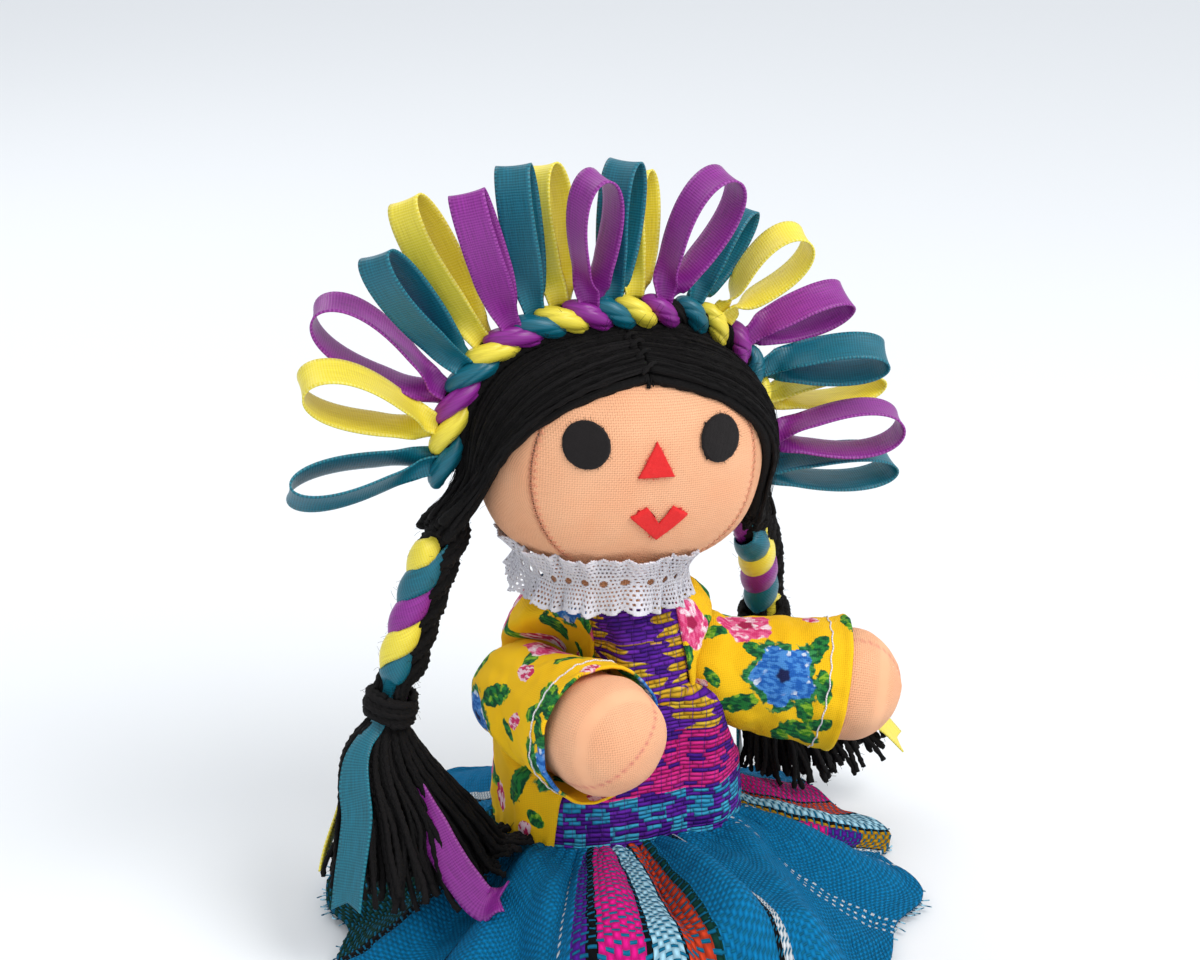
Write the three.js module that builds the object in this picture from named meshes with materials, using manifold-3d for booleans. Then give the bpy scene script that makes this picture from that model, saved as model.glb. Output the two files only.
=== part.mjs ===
// Rag doll with yarn braids, a ribbon-loop crown and a gathered skirt, seated.
// Millimetres, +Z up. The origin is the middle of the flat seat under the body.
// The doll faces -Y, so its right hand lies on the -X side.

import * as THREE from 'three';
import { mergeVertices } from 'three/addons/utils/BufferGeometryUtils.js';
import Module from 'manifold-3d';

const wasm = await Module();
wasm.setup();

// Driving sizes
const CLOTH = 0.6; // thickness of a cloth layer
const GAP = 0.3; // space kept between touching layers
const PRESS = 0.65; // space kept where one soft part dents another
const FACET = { arm: 0.3, leg: 0.52 }; // more of it in the body's dents, for their flat facets
const RIBBON_WIDTH = 6.35; // quarter-inch satin ribbon
const RIBBON_THICK = 0.45;
const FAR = 100; // further out than any part of the doll

const HEAD_HALF = { x: 26, y: 19.5, z: 20 };
const HEAD_ROUNDNESS = 2.5;
const HEAD_CENTRE_HEIGHT = 90;
const HEAD_TILT = THREE.MathUtils.degToRad(4); // leaning towards the doll's left
const SKIN = 0.8; // head, body and limb cloth
const NECK_HEIGHT = 69.4;
const NECK_HOLE = 6.4;
const FACE_PANEL_RADIUS = 21;
const FACE_PANEL_RISE = 2; // its centre above the head's centre

const FELT = 0.6;
const EYE_RADIUS = 4;
const EYE_SPREAD = 12.3;
const EYE_RISE = 8.1;
const NOSE = { width: 6.9, height: 6.4, rise: 2.4 };
const MOUTH = { width: 11, height: 6.6, notch: 3.2, rise: -9.6, shift: 1.2 };

const HAIR_THICK = 3;
const HAIRLINE = { half: 26, top: 21, temple: 4 }; // seen from the front
const HAIR_FRONT = { right: 1, left: -6 }; // front edge of each half beside the face
const HAIR_HEM = -14.5; // below the head's centre
const PARTING = 0.4;
const STITCH = { width: 1.4, front: -13, back: -2, low: 12 }; // ends from the head's centre

const CROWN_CORE = 2.2; // radius of the yarn core that the ribbons wind round
const CROWN_BACK = 3; // behind the head's middle
const CROWN_LAG = 7; // how much further back it lies at the doll's left
const CROWN_ENDS = { from: 184, to: -19 }; // degrees round the head's middle
const BEAD_WIDTH = 4.3; // ribbon creased round the core
const BASE_SHIFT = 0.09; // mm of base shift for each degree of lean
const BEAD_TURNS = [115, 90, 62, 35]; // degrees round the core, up to where the loop leaves it
const LOOP_SHAPE = { foot: 1, apart: 1.2, belly: 0.66, bluntness: 1.866, turning: 0.2 };
const LOOP_STEPS = 12;

const BODY_ROUNDNESS = 2.3;
const SHOULDER = { x: 18.5, y: -3, z: 46 };
const ARM_LENGTH = 37; // shoulder joint to fingertips
const ARM_ROOT = 8.8; // radius at the shoulder
const ARM_SWELL = 10.7; // radius at the hand
const SLEEVE_START = 2.5; // from the shoulder joint
const SLEEVE_END = 25;
const SLEEVE_FLARE = 1.3; // how far the cuff stands off the wrist
const ARM_RIGHT_AIM = { inward: 17, up: 5 }; // degrees from straight ahead
const ARM_LEFT_AIM = { forward: 17, up: -10 }; // degrees from straight out
const ARM_RANGE = { down: -20, up: 20, spare: 8 }; // degrees, and how much further the body is dented

const HIP = { x: 10, y: -17.2, z: 7.1 };
const LEG_LENGTH = 33;
const LEG_ROOT = 7.5;
const LEG_END = 6.8;
const LEG_SPLAY = 6;
const SEWN_OPENING = { arm: 4.5, leg: 4 }; // radius, where stuffing went in at a limb's root
const OPENING_REACH = 20; // further than a limb's root or the neck is thick

const BLOUSE_TOP = 64;
const BODICE_THICK = 0.8;
const OPENING_TOP = 8.5; // half width of the blouse's front opening
const OPENING_BOTTOM = 16;

const SKIRT_TOP = 16.8;
const WAIST_HEIGHT = SKIRT_TOP + GAP; // lower edge of the bodice and the blouse
const SKIRT_THICK = 1;
const SKIRT_BACK = 50; // hem radius behind
const SKIRT_FRONT = 60; // hem radius in front
const SKIRT_FOLDS = 13;
const HEM_FOLD = 2.2;
const RIPPLE_CREST = 3; // height of the folds above the hollow line
const LAP_HEIGHT = HIP.z + LEG_ROOT + SKIRT_THICK + 2 * PRESS; // where the cloth lies over the legs
const MINOR_FOLDS = { more: 5, share: 0.45, shift: 1.3 }; // a weaker set that makes the folds uneven
const FOLD_CREST = 1 + MINOR_FOLDS.share;
const SKIRT_SAG = 1.7; // power of the fall from the waist to the hem
const HEM_RISE = 0.4; // clear of the ground under the cloth
const WAIST_CURVE = 0.12; // share of the cloth's length that rounds over at the waist
const LAP = { side: [19, 34], knee: [47, 60], hip: [2, 12] }; // where the cloth falls off the legs

const LACE_THICK = 0.5;
const LACE_TOP = -15.2; // from the head's centre
const LACE_BOTTOM = -25.2;
const LACE_EDGES = { top: { x: 21.4, y: 16.4 }, bottom: { x: 18.8, y: 16 } }; // half widths
const LACE_DRAWN = { x: 2.4, y: 1.6 }; // how far the neck thread draws it in between them
const LACE_RUFFLES = { count: 12, depth: 0.6 };

const BRAID_TOP = 4.7; // radius
const BRAID_LOW = 3.9; // radius above the tie
const BRAID_NECK = 2.4; // radius inside the tie
const BRAID_KNOTS = { count: 6, depth: 0.45 };
const BRAID_DRAWN = { from: 0.84, to: 0.93 }; // share of the braid where it narrows into the tie
const WRAP_WIDTH = 4.4; // ribbon as it lies among the braid's strands
const WRAP_PITCH = 18; // length of braid for one turn of a ribbon
const TIED_WIDTH = 2.8; // ribbon drawn together inside the tie
const TIE = { bore: 4.1, outer: 5.3, height: 5 };

// Materials
const cloth = (color, roughness = 0.9) => new THREE.MeshStandardMaterial({ color, roughness, metalness: 0 });
const SKIN_CLOTH = cloth(0xf2b48c);
const STUFFING = cloth(0xf4f1ea, 1);
const BLACK_YARN = cloth(0x14120f, 0.95);
const BLACK_FELT = cloth(0x17130f, 0.95);
const RED_FELT = cloth(0xe0282a);
const WHITE_LACE = cloth(0xf6f4fb, 0.8);
const FLORAL_COTTON = cloth(0xf0bf22);
const BROCADE = cloth(0x6b28a8);
const SKIRT_CLOTH = cloth(0x0f7f92);
const SATIN = {
  teal: cloth(0x14666d, 0.4),
  yellow: cloth(0xf2dd3c, 0.4),
  purple: cloth(0x8e1f8e, 0.4),
};

const { degToRad } = THREE.MathUtils;
const vec = (x, y, z) => new THREE.Vector3(x, y, z);
const mix = (a, b, t) => a + (b - a) * t;
const ease = (t) => THREE.MathUtils.smoothstep(t, 0, 1);
const roundedPower = (value, power) => Math.sign(value) * Math.abs(value) ** power;

// Solids
function toSolid(geometry) {
  const bare = geometry.clone();
  bare.deleteAttribute('normal');
  bare.deleteAttribute('uv');
  const merged = mergeVertices(bare, 1e-4);
  const vertProperties = new Float32Array(merged.attributes.position.array);
  const triVerts = new Uint32Array(merged.index.array);
  return new wasm.Manifold(new wasm.Mesh({ numProp: 3, vertProperties, triVerts }));
}

function toGeometry(solid) {
  const { vertProperties, triVerts } = solid.getMesh();
  const geometry = new THREE.BufferGeometry();
  geometry.setAttribute('position', new THREE.BufferAttribute(new Float32Array(vertProperties), 3));
  geometry.setIndex(new THREE.BufferAttribute(new Uint32Array(triVerts), 1));
  geometry.computeVertexNormals();
  return geometry;
}

function fromTriangles(points, triangles) {
  const geometry = new THREE.BufferGeometry().setFromPoints(points);
  geometry.setIndex(triangles);
  geometry.computeVertexNormals();
  return geometry;
}

// Closed skin through rings of equal count, each running anticlockwise about the way ahead.
// Its four-cornered fields are split along one diagonal, or along the other where crossed says so.
function loft(rings, crossed = () => false) {
  const sides = rings[0].length;
  const points = rings.flat();
  const triangles = [];
  for (let i = 0; i + 1 < rings.length; i += 1) {
    for (let j = 0; j < sides; j += 1) {
      const a = i * sides + j;
      const b = i * sides + ((j + 1) % sides);
      if (crossed(j)) triangles.push(a, b, a + sides, b, b + sides, a + sides);
      else triangles.push(a, b, b + sides, a, b + sides, a + sides);
    }
  }
  const capCentre = (ring) => ring.reduce((sum, p) => sum.add(p), vec(0, 0, 0)).divideScalar(sides);
  const first = points.push(capCentre(rings[0])) - 1;
  const last = points.push(capCentre(rings.at(-1))) - 1;
  const lastRing = (rings.length - 1) * sides;
  for (let j = 0; j < sides; j += 1) {
    const next = (j + 1) % sides;
    triangles.push(first, next, j, last, lastRing + j, lastRing + next);
  }
  return fromTriangles(points, triangles);
}

// Point on a level outline, an ellipse that is squared off as the power grows past 2
const onOutline = (turn, halfX, halfY, power) =>
  vec(halfX * roundedPower(Math.cos(turn), 2 / power), halfY * roundedPower(Math.sin(turn), 2 / power), 0);

// The same outline as a ring about a centre, with half widths along two directions
function ring(centre, across, up, halfAcross, halfUp, sides, power = 2) {
  return Array.from({ length: sides }, (_, j) => {
    const { x, y } = onOutline((2 * Math.PI * j) / sides, halfAcross, halfUp, power);
    return centre.clone().addScaledVector(across, x).addScaledVector(up, y);
  });
}

// Closed sheet of even thickness over a surface that goes once round in its first value
function roundSheet(surface, around, rows, thickness) {
  const step = 1e-3;
  const outer = [];
  const inner = [];
  for (let i = 0; i <= rows; i += 1) {
    for (let j = 0; j < around; j += 1) {
      const u = j / around;
      const v = i / rows;
      const alongU = surface(u + step, v).sub(surface(u - step, v));
      const alongV = surface(u, Math.min(v + step, 1)).sub(surface(u, Math.max(v - step, 0)));
      const outward = alongV.cross(alongU).normalize();
      const point = surface(u, v);
      outer.push(point);
      inner.push(point.clone().addScaledVector(outward, -thickness));
    }
  }
  const offset = outer.length;
  const triangles = [];
  const quad = (a, b, c, d) => triangles.push(a, b, c, a, c, d);
  for (let j = 0; j < around; j += 1) {
    const next = (j + 1) % around;
    for (let i = 0; i < rows; i += 1) {
      const a = i * around + j;
      const b = i * around + next;
      quad(a, a + around, b + around, b);
      quad(offset + a, offset + b, offset + b + around, offset + a + around);
    }
    const last = rows * around;
    quad(j, next, offset + next, offset + j);
    quad(last + next, last + j, offset + last + j, offset + last + next);
  }
  return fromTriangles([...outer, ...inner], triangles);
}

// Flat ribbon through stations, each with its place, its width's direction and its width.
// Its two faces are split along the same diagonals, so that they stay apart where it twists.
function ribbonBand(stations, thickness = RIBBON_THICK) {
  const rings = stations.map(({ at, across, width }, i) => {
    const before = stations[Math.max(i - 1, 0)].at;
    const after = stations[Math.min(i + 1, stations.length - 1)].at;
    const ahead = after.clone().sub(before).normalize();
    const side = across.clone().addScaledVector(ahead, -across.dot(ahead)).normalize();
    const face = ahead.clone().cross(side);
    const corner = (a, b) =>
      at.clone().addScaledVector(side, (a * width) / 2).addScaledVector(face, (b * thickness) / 2);
    return [corner(-1, -1), corner(1, -1), corner(1, 1), corner(-1, 1)];
  });
  const upperFace = 2;
  return loft(rings, (side) => side === upperFace);
}

// Outline in the X-Z plane pushed along Y from one place to another
function pushAlongY(shape, from, to) {
  const geometry = new THREE.ExtrudeGeometry(shape, { depth: to - from, bevelEnabled: false, curveSegments: 16 });
  geometry.rotateX(Math.PI / 2);
  geometry.translate(0, to, 0);
  return toSolid(geometry);
}

function box(minimum, maximum) {
  const size = maximum.clone().sub(minimum);
  const middle = minimum.clone().add(maximum).divideScalar(2);
  return toSolid(new THREE.BoxGeometry(size.x, size.y, size.z).translate(middle.x, middle.y, middle.z));
}

const ball = (centre, radius) =>
  toSolid(new THREE.SphereGeometry(radius, 20, 12).translate(centre.x, centre.y, centre.z));

// Meshes
function piece(name, geometry, material) {
  const mesh = new THREE.Mesh(geometry, material);
  mesh.name = name;
  return mesh;
}

const solidPiece = (name, solid, material) => piece(name, toGeometry(solid), material);

// Head, in its own frame with the head's centre as origin
function headForm(offset, around = 24, rows = 11) {
  const half = { x: HEAD_HALF.x + offset, y: HEAD_HALF.y + offset, z: HEAD_HALF.z + offset };
  const rings = Array.from({ length: rows }, (_, i) => {
    const rise = Math.sin(mix(-1.48, 1.48, i / (rows - 1)));
    const shrink = (1 - Math.abs(rise) ** HEAD_ROUNDNESS) ** (1 / HEAD_ROUNDNESS);
    return ring(vec(0, 0, half.z * rise), vec(1, 0, 0), vec(0, 1, 0), half.x * shrink, half.y * shrink,
      around, HEAD_ROUNDNESS);
  });
  return toSolid(loft(rings));
}

const headShell = (inside, outside) => headForm(outside).subtract(headForm(inside));

function circle(radius, x, z) {
  const shape = new THREE.Shape();
  shape.absarc(x, z, radius, 0, 2 * Math.PI);
  return shape;
}

const inFront = (shape) => pushAlongY(shape, -FAR, 0);

function facePanel() {
  const outline = inFront(circle(FACE_PANEL_RADIUS, 0, FACE_PANEL_RISE));
  return solidPiece('face_panel', headShell(-SKIN, 0).intersect(outline), SKIN_CLOTH);
}

function headBackPanel() {
  const faceCut = inFront(circle(FACE_PANEL_RADIUS + GAP, 0, FACE_PANEL_RISE));
  const neckCut = toSolid(new THREE.CylinderGeometry(NECK_HOLE, NECK_HOLE, 20, 24)
    .rotateX(Math.PI / 2).translate(0, 0, -HEAD_HALF.z));
  const shell = headShell(-SKIN, 0).subtract(faceCut).subtract(neckCut);
  return solidPiece('head_back_panel', shell, SKIN_CLOTH);
}

const feltPatch = (name, shape, material) =>
  solidPiece(name, headShell(GAP, GAP + FELT).intersect(inFront(shape)), material);

function noseShape() {
  const { width, height, rise } = NOSE;
  return new THREE.Shape([
    new THREE.Vector2(-width / 2, rise),
    new THREE.Vector2(width / 2, rise),
    new THREE.Vector2(0, rise + height),
  ]);
}

function mouthShape() {
  const { width, height, notch, rise, shift } = MOUTH;
  const top = rise + height;
  const corner = rise + height * 0.72;
  return new THREE.Shape([
    new THREE.Vector2(shift, rise),
    new THREE.Vector2(shift + width / 2, corner),
    new THREE.Vector2(shift + width * 0.22, top),
    new THREE.Vector2(shift, top - notch),
    new THREE.Vector2(shift - width * 0.22, top),
    new THREE.Vector2(shift - width / 2, corner),
  ]);
}

function hairHalf(side, braidTops) {
  const { half: wide, top: crest, temple } = HAIRLINE;
  const hairline = new THREE.Shape().moveTo(-FAR, -FAR).lineTo(FAR, -FAR).lineTo(FAR, temple).lineTo(wide, temple);
  hairline.absellipse(0, temple, wide, crest - temple, 0, Math.PI);
  hairline.lineTo(-FAR, temple);
  const edge = PARTING / 2;
  const half = side === 'right' ? box(vec(-FAR, -FAR, HAIR_HEM), vec(-edge, FAR, FAR))
    : box(vec(edge, -FAR, HAIR_HEM), vec(FAR, FAR, FAR));
  let hair = headShell(GAP + 0.1, HAIR_THICK)
    .subtract(pushAlongY(hairline, -FAR, HAIR_FRONT[side])).intersect(half);
  for (const top of braidTops) hair = hair.subtract(ball(top, BRAID_TOP + PRESS));
  return solidPiece(`hair_${side}`, hair, BLACK_YARN);
}

function partingStitch() {
  const over = headShell(HAIR_THICK + GAP, HAIR_THICK + GAP + FELT);
  const { width, front, back, low } = STITCH;
  const strip = box(vec(-width / 2, front, low), vec(width / 2, back, FAR));
  return solidPiece('parting_stitch', over.intersect(strip), BLACK_YARN);
}

// Crown: its core lies on the hair, in a plane that bends back at the doll's left
function crownPoint(degrees) {
  const turn = degToRad(degrees);
  const back = CROWN_BACK + CROWN_LAG * ease(Math.max(Math.cos(turn), 0));
  const hair = { x: HEAD_HALF.x + HAIR_THICK, y: HEAD_HALF.y + HAIR_THICK, z: HEAD_HALF.z + HAIR_THICK };
  const shrink = (1 - (back / hair.y) ** HEAD_ROUNDNESS) ** (1 / HEAD_ROUNDNESS);
  const stand = CROWN_CORE + 2 * GAP;
  const reach = ((Math.abs(Math.cos(turn)) / (hair.x * shrink + stand)) ** HEAD_ROUNDNESS
    + (Math.abs(Math.sin(turn)) / (hair.z * shrink + stand)) ** HEAD_ROUNDNESS) ** (-1 / HEAD_ROUNDNESS);
  return vec(reach * Math.cos(turn), back, reach * Math.sin(turn));
}

function crownTangent(degrees) {
  return crownPoint(degrees - 1).sub(crownPoint(degrees + 1)).normalize();
}

function crownCore() {
  const steps = 26;
  const rings = Array.from({ length: steps + 1 }, (_, i) => {
    const degrees = mix(CROWN_ENDS.from, CROWN_ENDS.to, i / steps);
    const ahead = crownTangent(degrees);
    const back = vec(0, 1, 0);
    return ring(crownPoint(degrees), back, ahead.clone().cross(back), CROWN_CORE, CROWN_CORE, 8);
  });
  return piece('crown_core', loft(rings), BLACK_YARN);
}

// Each loop: place round the crown, direction and length from base to tip, open width,
// twist away from lying flat in the crown's plane, and lean to the back, in degrees and mm
const LOOPS = [
  { at: 181, aim: 190, length: 25, open: 6, twist: 20, lean: -4 },
  { at: 170, aim: 155, length: 26, open: 9, twist: 15, lean: -8 },
  { at: 160, aim: 145, length: 26, open: 9, twist: 10, lean: 6 },
  { at: 150, aim: 129, length: 26, open: 6, twist: 50, lean: -8 },
  { at: 141, aim: 120, length: 27, open: 6, twist: 50, lean: 8 },
  { at: 132, aim: 113, length: 26, open: 5, twist: 70, lean: -10 },
  { at: 123, aim: 101, length: 25, open: 6, twist: 60, lean: 4 },
  { at: 114, aim: 94, length: 23, open: 5, twist: 30, lean: 18 },
  { at: 104, aim: 94, length: 23, open: 7, twist: 15, lean: -11 },
  { at: 94, aim: 85, length: 23, open: 6, twist: 40, lean: 8 },
  { at: 84, aim: 83, length: 21, open: 5, twist: 40, lean: 24 },
  { at: 73, aim: 68, length: 24, open: 9, twist: 20, lean: -8 },
  { at: 58, aim: 58, length: 18, open: 5, twist: 40, lean: 12 },
  { at: 47, aim: 51, length: 19.5, open: 8, twist: 10, lean: -14 },
  { at: 33, aim: 16, length: 20, open: 7, twist: 35, lean: 2 },
  { at: 21, aim: 8, length: 22, open: 7, twist: 30, lean: -14 },
  { at: 10, aim: 0, length: 26, open: 6, twist: 15, lean: 14 },
  { at: -3, aim: 6, length: 25, open: 9, twist: 10, lean: -11 },
  { at: -15, aim: -4, length: 29, open: 7, twist: 20, lean: 6 },
];
const LOOP_COLOURS = ['teal', 'yellow', 'purple'];

function ribbonLoop({ at, aim, length, open, twist, lean }) {
  const centre = crownPoint(at);
  const along = crownTangent(at);
  const front = vec(0, -1, 0);
  const out = front.clone().cross(along).normalize();
  const flat = vec(Math.cos(degToRad(aim)), 0, Math.sin(degToRad(aim)));
  const ahead = flat.clone().multiplyScalar(Math.cos(degToRad(lean)))
    .addScaledVector(front, -Math.sin(degToRad(lean))).normalize();
  const sideFlat = vec(0, 1, 0).cross(ahead).normalize();
  const opening = sideFlat.clone().applyAxisAngle(ahead, degToRad(twist));
  const loopAcross = ahead.clone().cross(opening);
  if (loopAcross.dot(along) < 0) along.negate();
  const wrap = CROWN_CORE + GAP + RIBBON_THICK;
  const { foot, apart, belly, bluntness, turning } = LOOP_SHAPE;
  const base = centre.clone().addScaledVector(out, wrap + foot).addScaledVector(front, -lean * BASE_SHIFT);
  const stations = [];
  for (const degrees of BEAD_TURNS) {
    const turn = degToRad(degrees);
    const place = centre.clone().addScaledVector(out, wrap * Math.cos(turn))
      .addScaledVector(front, wrap * Math.sin(turn));
    stations.push({ at: place, across: along, width: BEAD_WIDTH });
  }
  for (let i = 0; i <= LOOP_STEPS; i += 1) {
    const t = i / LOOP_STEPS;
    const reach = length * Math.sin(Math.PI * t) ** bluntness;
    const swell = open * belly * Math.sin(2 * Math.PI * t) * Math.sin(Math.PI * t) + apart * (0.5 - t);
    const place = base.clone().addScaledVector(ahead, reach).addScaledVector(opening, swell);
    const turned = ease(Math.min(t / turning, 1));
    const across = along.clone().multiplyScalar(1 - turned).addScaledVector(loopAcross, turned).normalize();
    stations.push({ at: place, across, width: mix(BEAD_WIDTH, RIBBON_WIDTH, turned) });
  }
  return ribbonBand(stations);
}

function crownLoops() {
  return LOOPS.map((loop, i) => {
    const name = `ribbon_loop_${String(i + 1).padStart(2, '0')}`;
    return piece(name, ribbonLoop(loop), SATIN[LOOP_COLOURS[i % LOOP_COLOURS.length]]);
  });
}

// Lace ruffle round the neck, in the head's frame
function laceSurface(u, v) {
  const turn = 2 * Math.PI * u;
  const rise = mix(LACE_TOP, LACE_BOTTOM, v);
  const waist = Math.sin(Math.PI * v);
  const { top, bottom } = LACE_EDGES;
  const halfX = mix(top.x, bottom.x, v) - LACE_DRAWN.x * waist;
  const halfY = mix(top.y, bottom.y, v) - LACE_DRAWN.y * waist;
  const ruffle = LACE_RUFFLES.depth * Math.cos(LACE_RUFFLES.count * turn) * Math.abs(v - 0.5) * 2;
  return onOutline(turn, halfX + ruffle, halfY + ruffle, HEAD_ROUNDNESS).setZ(rise);
}

const laceCollar = () => piece('lace_collar', roundSheet(laceSurface, 48, 2, LACE_THICK), WHITE_LACE);

// Limbs
function aimedFrame(direction) {
  const ahead = direction.clone().normalize();
  const across = vec(0, 0, 1).cross(ahead).normalize();
  return { ahead, across, up: ahead.clone().cross(across) };
}

// Radii at shares of a limb's length, the last where its round end starts
const ARM_RADII = [[0, ARM_ROOT], [0.3, 9.5], [0.62, 10.2], [0.8, ARM_SWELL]];
const LEG_RADII = [[0, LEG_ROOT], [0.35, 7.4], [0.6, LEG_END], [0.8, LEG_END + 0.3]];

const CUFF_SHARE = 0.55; // of the arm's length, where the sleeve ends
const LIMB_RINGS = { rootDegrees: [-72, -36], shares: [0, 0.3, 0.55, 0.8], endDegrees: [30, 56, 78] };

function radiusAt(radii, t) {
  const index = Math.max(1, radii.findIndex(([place]) => place >= t));
  const [[t0, r0], [t1, r1]] = [radii[index - 1], radii[index]];
  return mix(r0, r1, ease((t - t0) / (t1 - t0)));
}

// Stuffed limb: a round root, a swelling length and a round end
function limbForm(origin, direction, length, radii, offset, sides = 10) {
  const { ahead, across, up } = aimedFrame(direction);
  const place = (distance) => origin.clone().addScaledVector(ahead, distance);
  const rings = [];
  const rootRadius = radii[0][1] + offset;
  for (const angle of LIMB_RINGS.rootDegrees) {
    const turn = degToRad(angle);
    const r = rootRadius * Math.cos(turn);
    rings.push(ring(place(rootRadius * Math.sin(turn)), across, up, r, r, sides));
  }
  const endRadius = radii.at(-1)[1] + offset;
  const endStart = length + offset - endRadius;
  const lastShare = radii.at(-1)[0];
  for (const t of LIMB_RINGS.shares) {
    const r = radiusAt(radii, t) + offset;
    rings.push(ring(place((t / lastShare) * endStart), across, up, r, r, sides));
  }
  for (const angle of LIMB_RINGS.endDegrees) {
    const turn = degToRad(angle);
    const r = endRadius * Math.cos(turn);
    rings.push(ring(place(endStart + endRadius * Math.sin(turn)), across, up, r, r, sides));
  }
  return toSolid(loft(rings));
}

function rod(from, direction, length, radius) {
  const { ahead, across, up } = aimedFrame(direction);
  const end = from.clone().addScaledVector(ahead, length);
  return toSolid(loft([ring(from, across, up, radius, radius, 12), ring(end, across, up, radius, radius, 12)]));
}

function limbSkin(origin, direction, length, radii) {
  const opening = rod(origin, direction.clone().negate(), OPENING_REACH, SEWN_OPENING.arm);
  return limbForm(origin, direction, length, radii, 0)
    .subtract(limbForm(origin, direction, length, radii, -SKIN))
    .subtract(opening);
}

const armRightAim = vec(0, -1, 0)
  .applyAxisAngle(vec(1, 0, 0), -degToRad(ARM_RIGHT_AIM.up))
  .applyAxisAngle(vec(0, 0, 1), degToRad(ARM_RIGHT_AIM.inward));
const armLeftAim = vec(1, 0, 0)
  .applyAxisAngle(vec(0, 1, 0), -degToRad(ARM_LEFT_AIM.up))
  .applyAxisAngle(vec(0, 0, 1), -degToRad(ARM_LEFT_AIM.forward));

const ARMS = [
  { side: 'right', shoulder: vec(-SHOULDER.x, SHOULDER.y, SHOULDER.z), aim: armRightAim },
  { side: 'left', shoulder: vec(SHOULDER.x, SHOULDER.y, SHOULDER.z), aim: armLeftAim },
];
const LEGS = [
  { side: 'right', hip: vec(-HIP.x, HIP.y, HIP.z), splay: -LEG_SPLAY },
  { side: 'left', hip: vec(HIP.x, HIP.y, HIP.z), splay: LEG_SPLAY },
].map((leg) => ({ ...leg, aim: vec(0, -1, 0).applyAxisAngle(vec(0, 0, 1), degToRad(leg.splay)) }));

function sleeveWidth(distance) {
  const t = distance / SLEEVE_END;
  return radiusAt(ARM_RADII, t * CUFF_SHARE) + GAP + SLEEVE_FLARE * ease(t);
}

function sleeveForm(shoulder, aim, offset, start, end) {
  const { ahead, across, up } = aimedFrame(aim);
  const rings = [0, 0.3, 0.65, 1].map((t) => {
    const distance = mix(start, end, t);
    const radius = sleeveWidth(THREE.MathUtils.clamp(distance, 0, SLEEVE_END)) + offset;
    return ring(shoulder.clone().addScaledVector(ahead, distance), across, up, radius, radius, 14);
  });
  return toSolid(loft(rings));
}

function arm({ side, shoulder, aim }) {
  const group = new THREE.Group();
  const stuffing = limbForm(shoulder, aim, ARM_LENGTH, ARM_RADII, -SKIN - GAP);
  const sleeve = sleeveForm(shoulder, aim, CLOTH, SLEEVE_START, SLEEVE_END)
    .subtract(sleeveForm(shoulder, aim, 0, -1, SLEEVE_END + 2));
  group.add(solidPiece(`arm_skin_${side}`, limbSkin(shoulder, aim, ARM_LENGTH, ARM_RADII), SKIN_CLOTH));
  group.add(solidPiece(`arm_stuffing_${side}`, stuffing, STUFFING));
  group.add(solidPiece(`sleeve_${side}`, sleeve, FLORAL_COTTON));
  return group;
}

function leg({ side, hip, aim }) {
  const group = new THREE.Group();
  const above = (height) => box(vec(-FAR, -FAR, height), vec(FAR, FAR, FAR));
  const outer = limbForm(hip, aim, LEG_LENGTH, LEG_RADII, 0).intersect(above(0));
  const hollow = limbForm(hip, aim, LEG_LENGTH, LEG_RADII, -SKIN).intersect(above(SKIN));
  const opening = rod(hip, aim.clone().negate(), OPENING_REACH, SEWN_OPENING.leg);
  const stuffing = limbForm(hip, aim, LEG_LENGTH, LEG_RADII, -SKIN - GAP).intersect(above(SKIN + GAP));
  group.add(solidPiece(`leg_skin_${side}`, outer.subtract(hollow).subtract(opening), SKIN_CLOTH));
  group.add(solidPiece(`leg_stuffing_${side}`, stuffing, STUFFING));
  return group;
}

// Body: half widths at each height, dented where the limbs are sewn on and where they swing
const BODY_SECTIONS = [
  { z: 0, x: 15, y: 12 },
  { z: 3, x: 18.6, y: 14.2 },
  { z: 10, x: 20.3, y: 15.2 },
  { z: 18, x: 20.4, y: 14.4 },
  { z: 26, x: 20, y: 13.2 },
  { z: 36, x: 20.2, y: 12.2 },
  { z: 46, x: 20.4, y: 11.6 },
  { z: 54, x: 19.2, y: 11 },
  { z: 59, x: 17.2, y: 10.4 },
  { z: 62, x: 15, y: 10 },
  { z: 65, x: 11.6, y: 9.2 },
  { z: NECK_HEIGHT, x: 8.4, y: 8 },
];

function bodySection(height) {
  const z = THREE.MathUtils.clamp(height, BODY_SECTIONS[0].z, BODY_SECTIONS.at(-1).z);
  const index = Math.max(1, BODY_SECTIONS.findIndex((section) => section.z >= z));
  const below = BODY_SECTIONS[index - 1];
  const above = BODY_SECTIONS[index];
  const t = (z - below.z) / (above.z - below.z);
  return { x: mix(below.x, above.x, t), y: mix(below.y, above.y, t) };
}

const OUTER_LAYERS = 2 * GAP + BODICE_THICK + GAP + CLOTH;

function limbCapsules() {
  const capsules = [];
  for (const { shoulder, aim } of ARMS) {
    const axis = aim.clone().cross(vec(0, 0, 1)).normalize();
    const steps = 4;
    for (let i = 0; i <= steps; i += 1) {
      const angle = mix(ARM_RANGE.down - ARM_RANGE.spare, ARM_RANGE.up + ARM_RANGE.spare, i / steps);
      const swung = aim.clone().applyAxisAngle(axis, degToRad(angle));
      for (let distance = 0; distance <= SLEEVE_END; distance += 2.5) {
        const centre = shoulder.clone().addScaledVector(swung, distance);
        capsules.push({ centre, radius: sleeveWidth(distance) + CLOTH + OUTER_LAYERS + FACET.arm });
      }
    }
  }
  for (const { hip } of LEGS) {
    for (const height of [hip.z, hip.z / 2, 0]) {
      capsules.push({ centre: vec(hip.x, hip.y, height), radius: LEG_ROOT + FACET.leg });
    }
  }
  return capsules;
}

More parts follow.
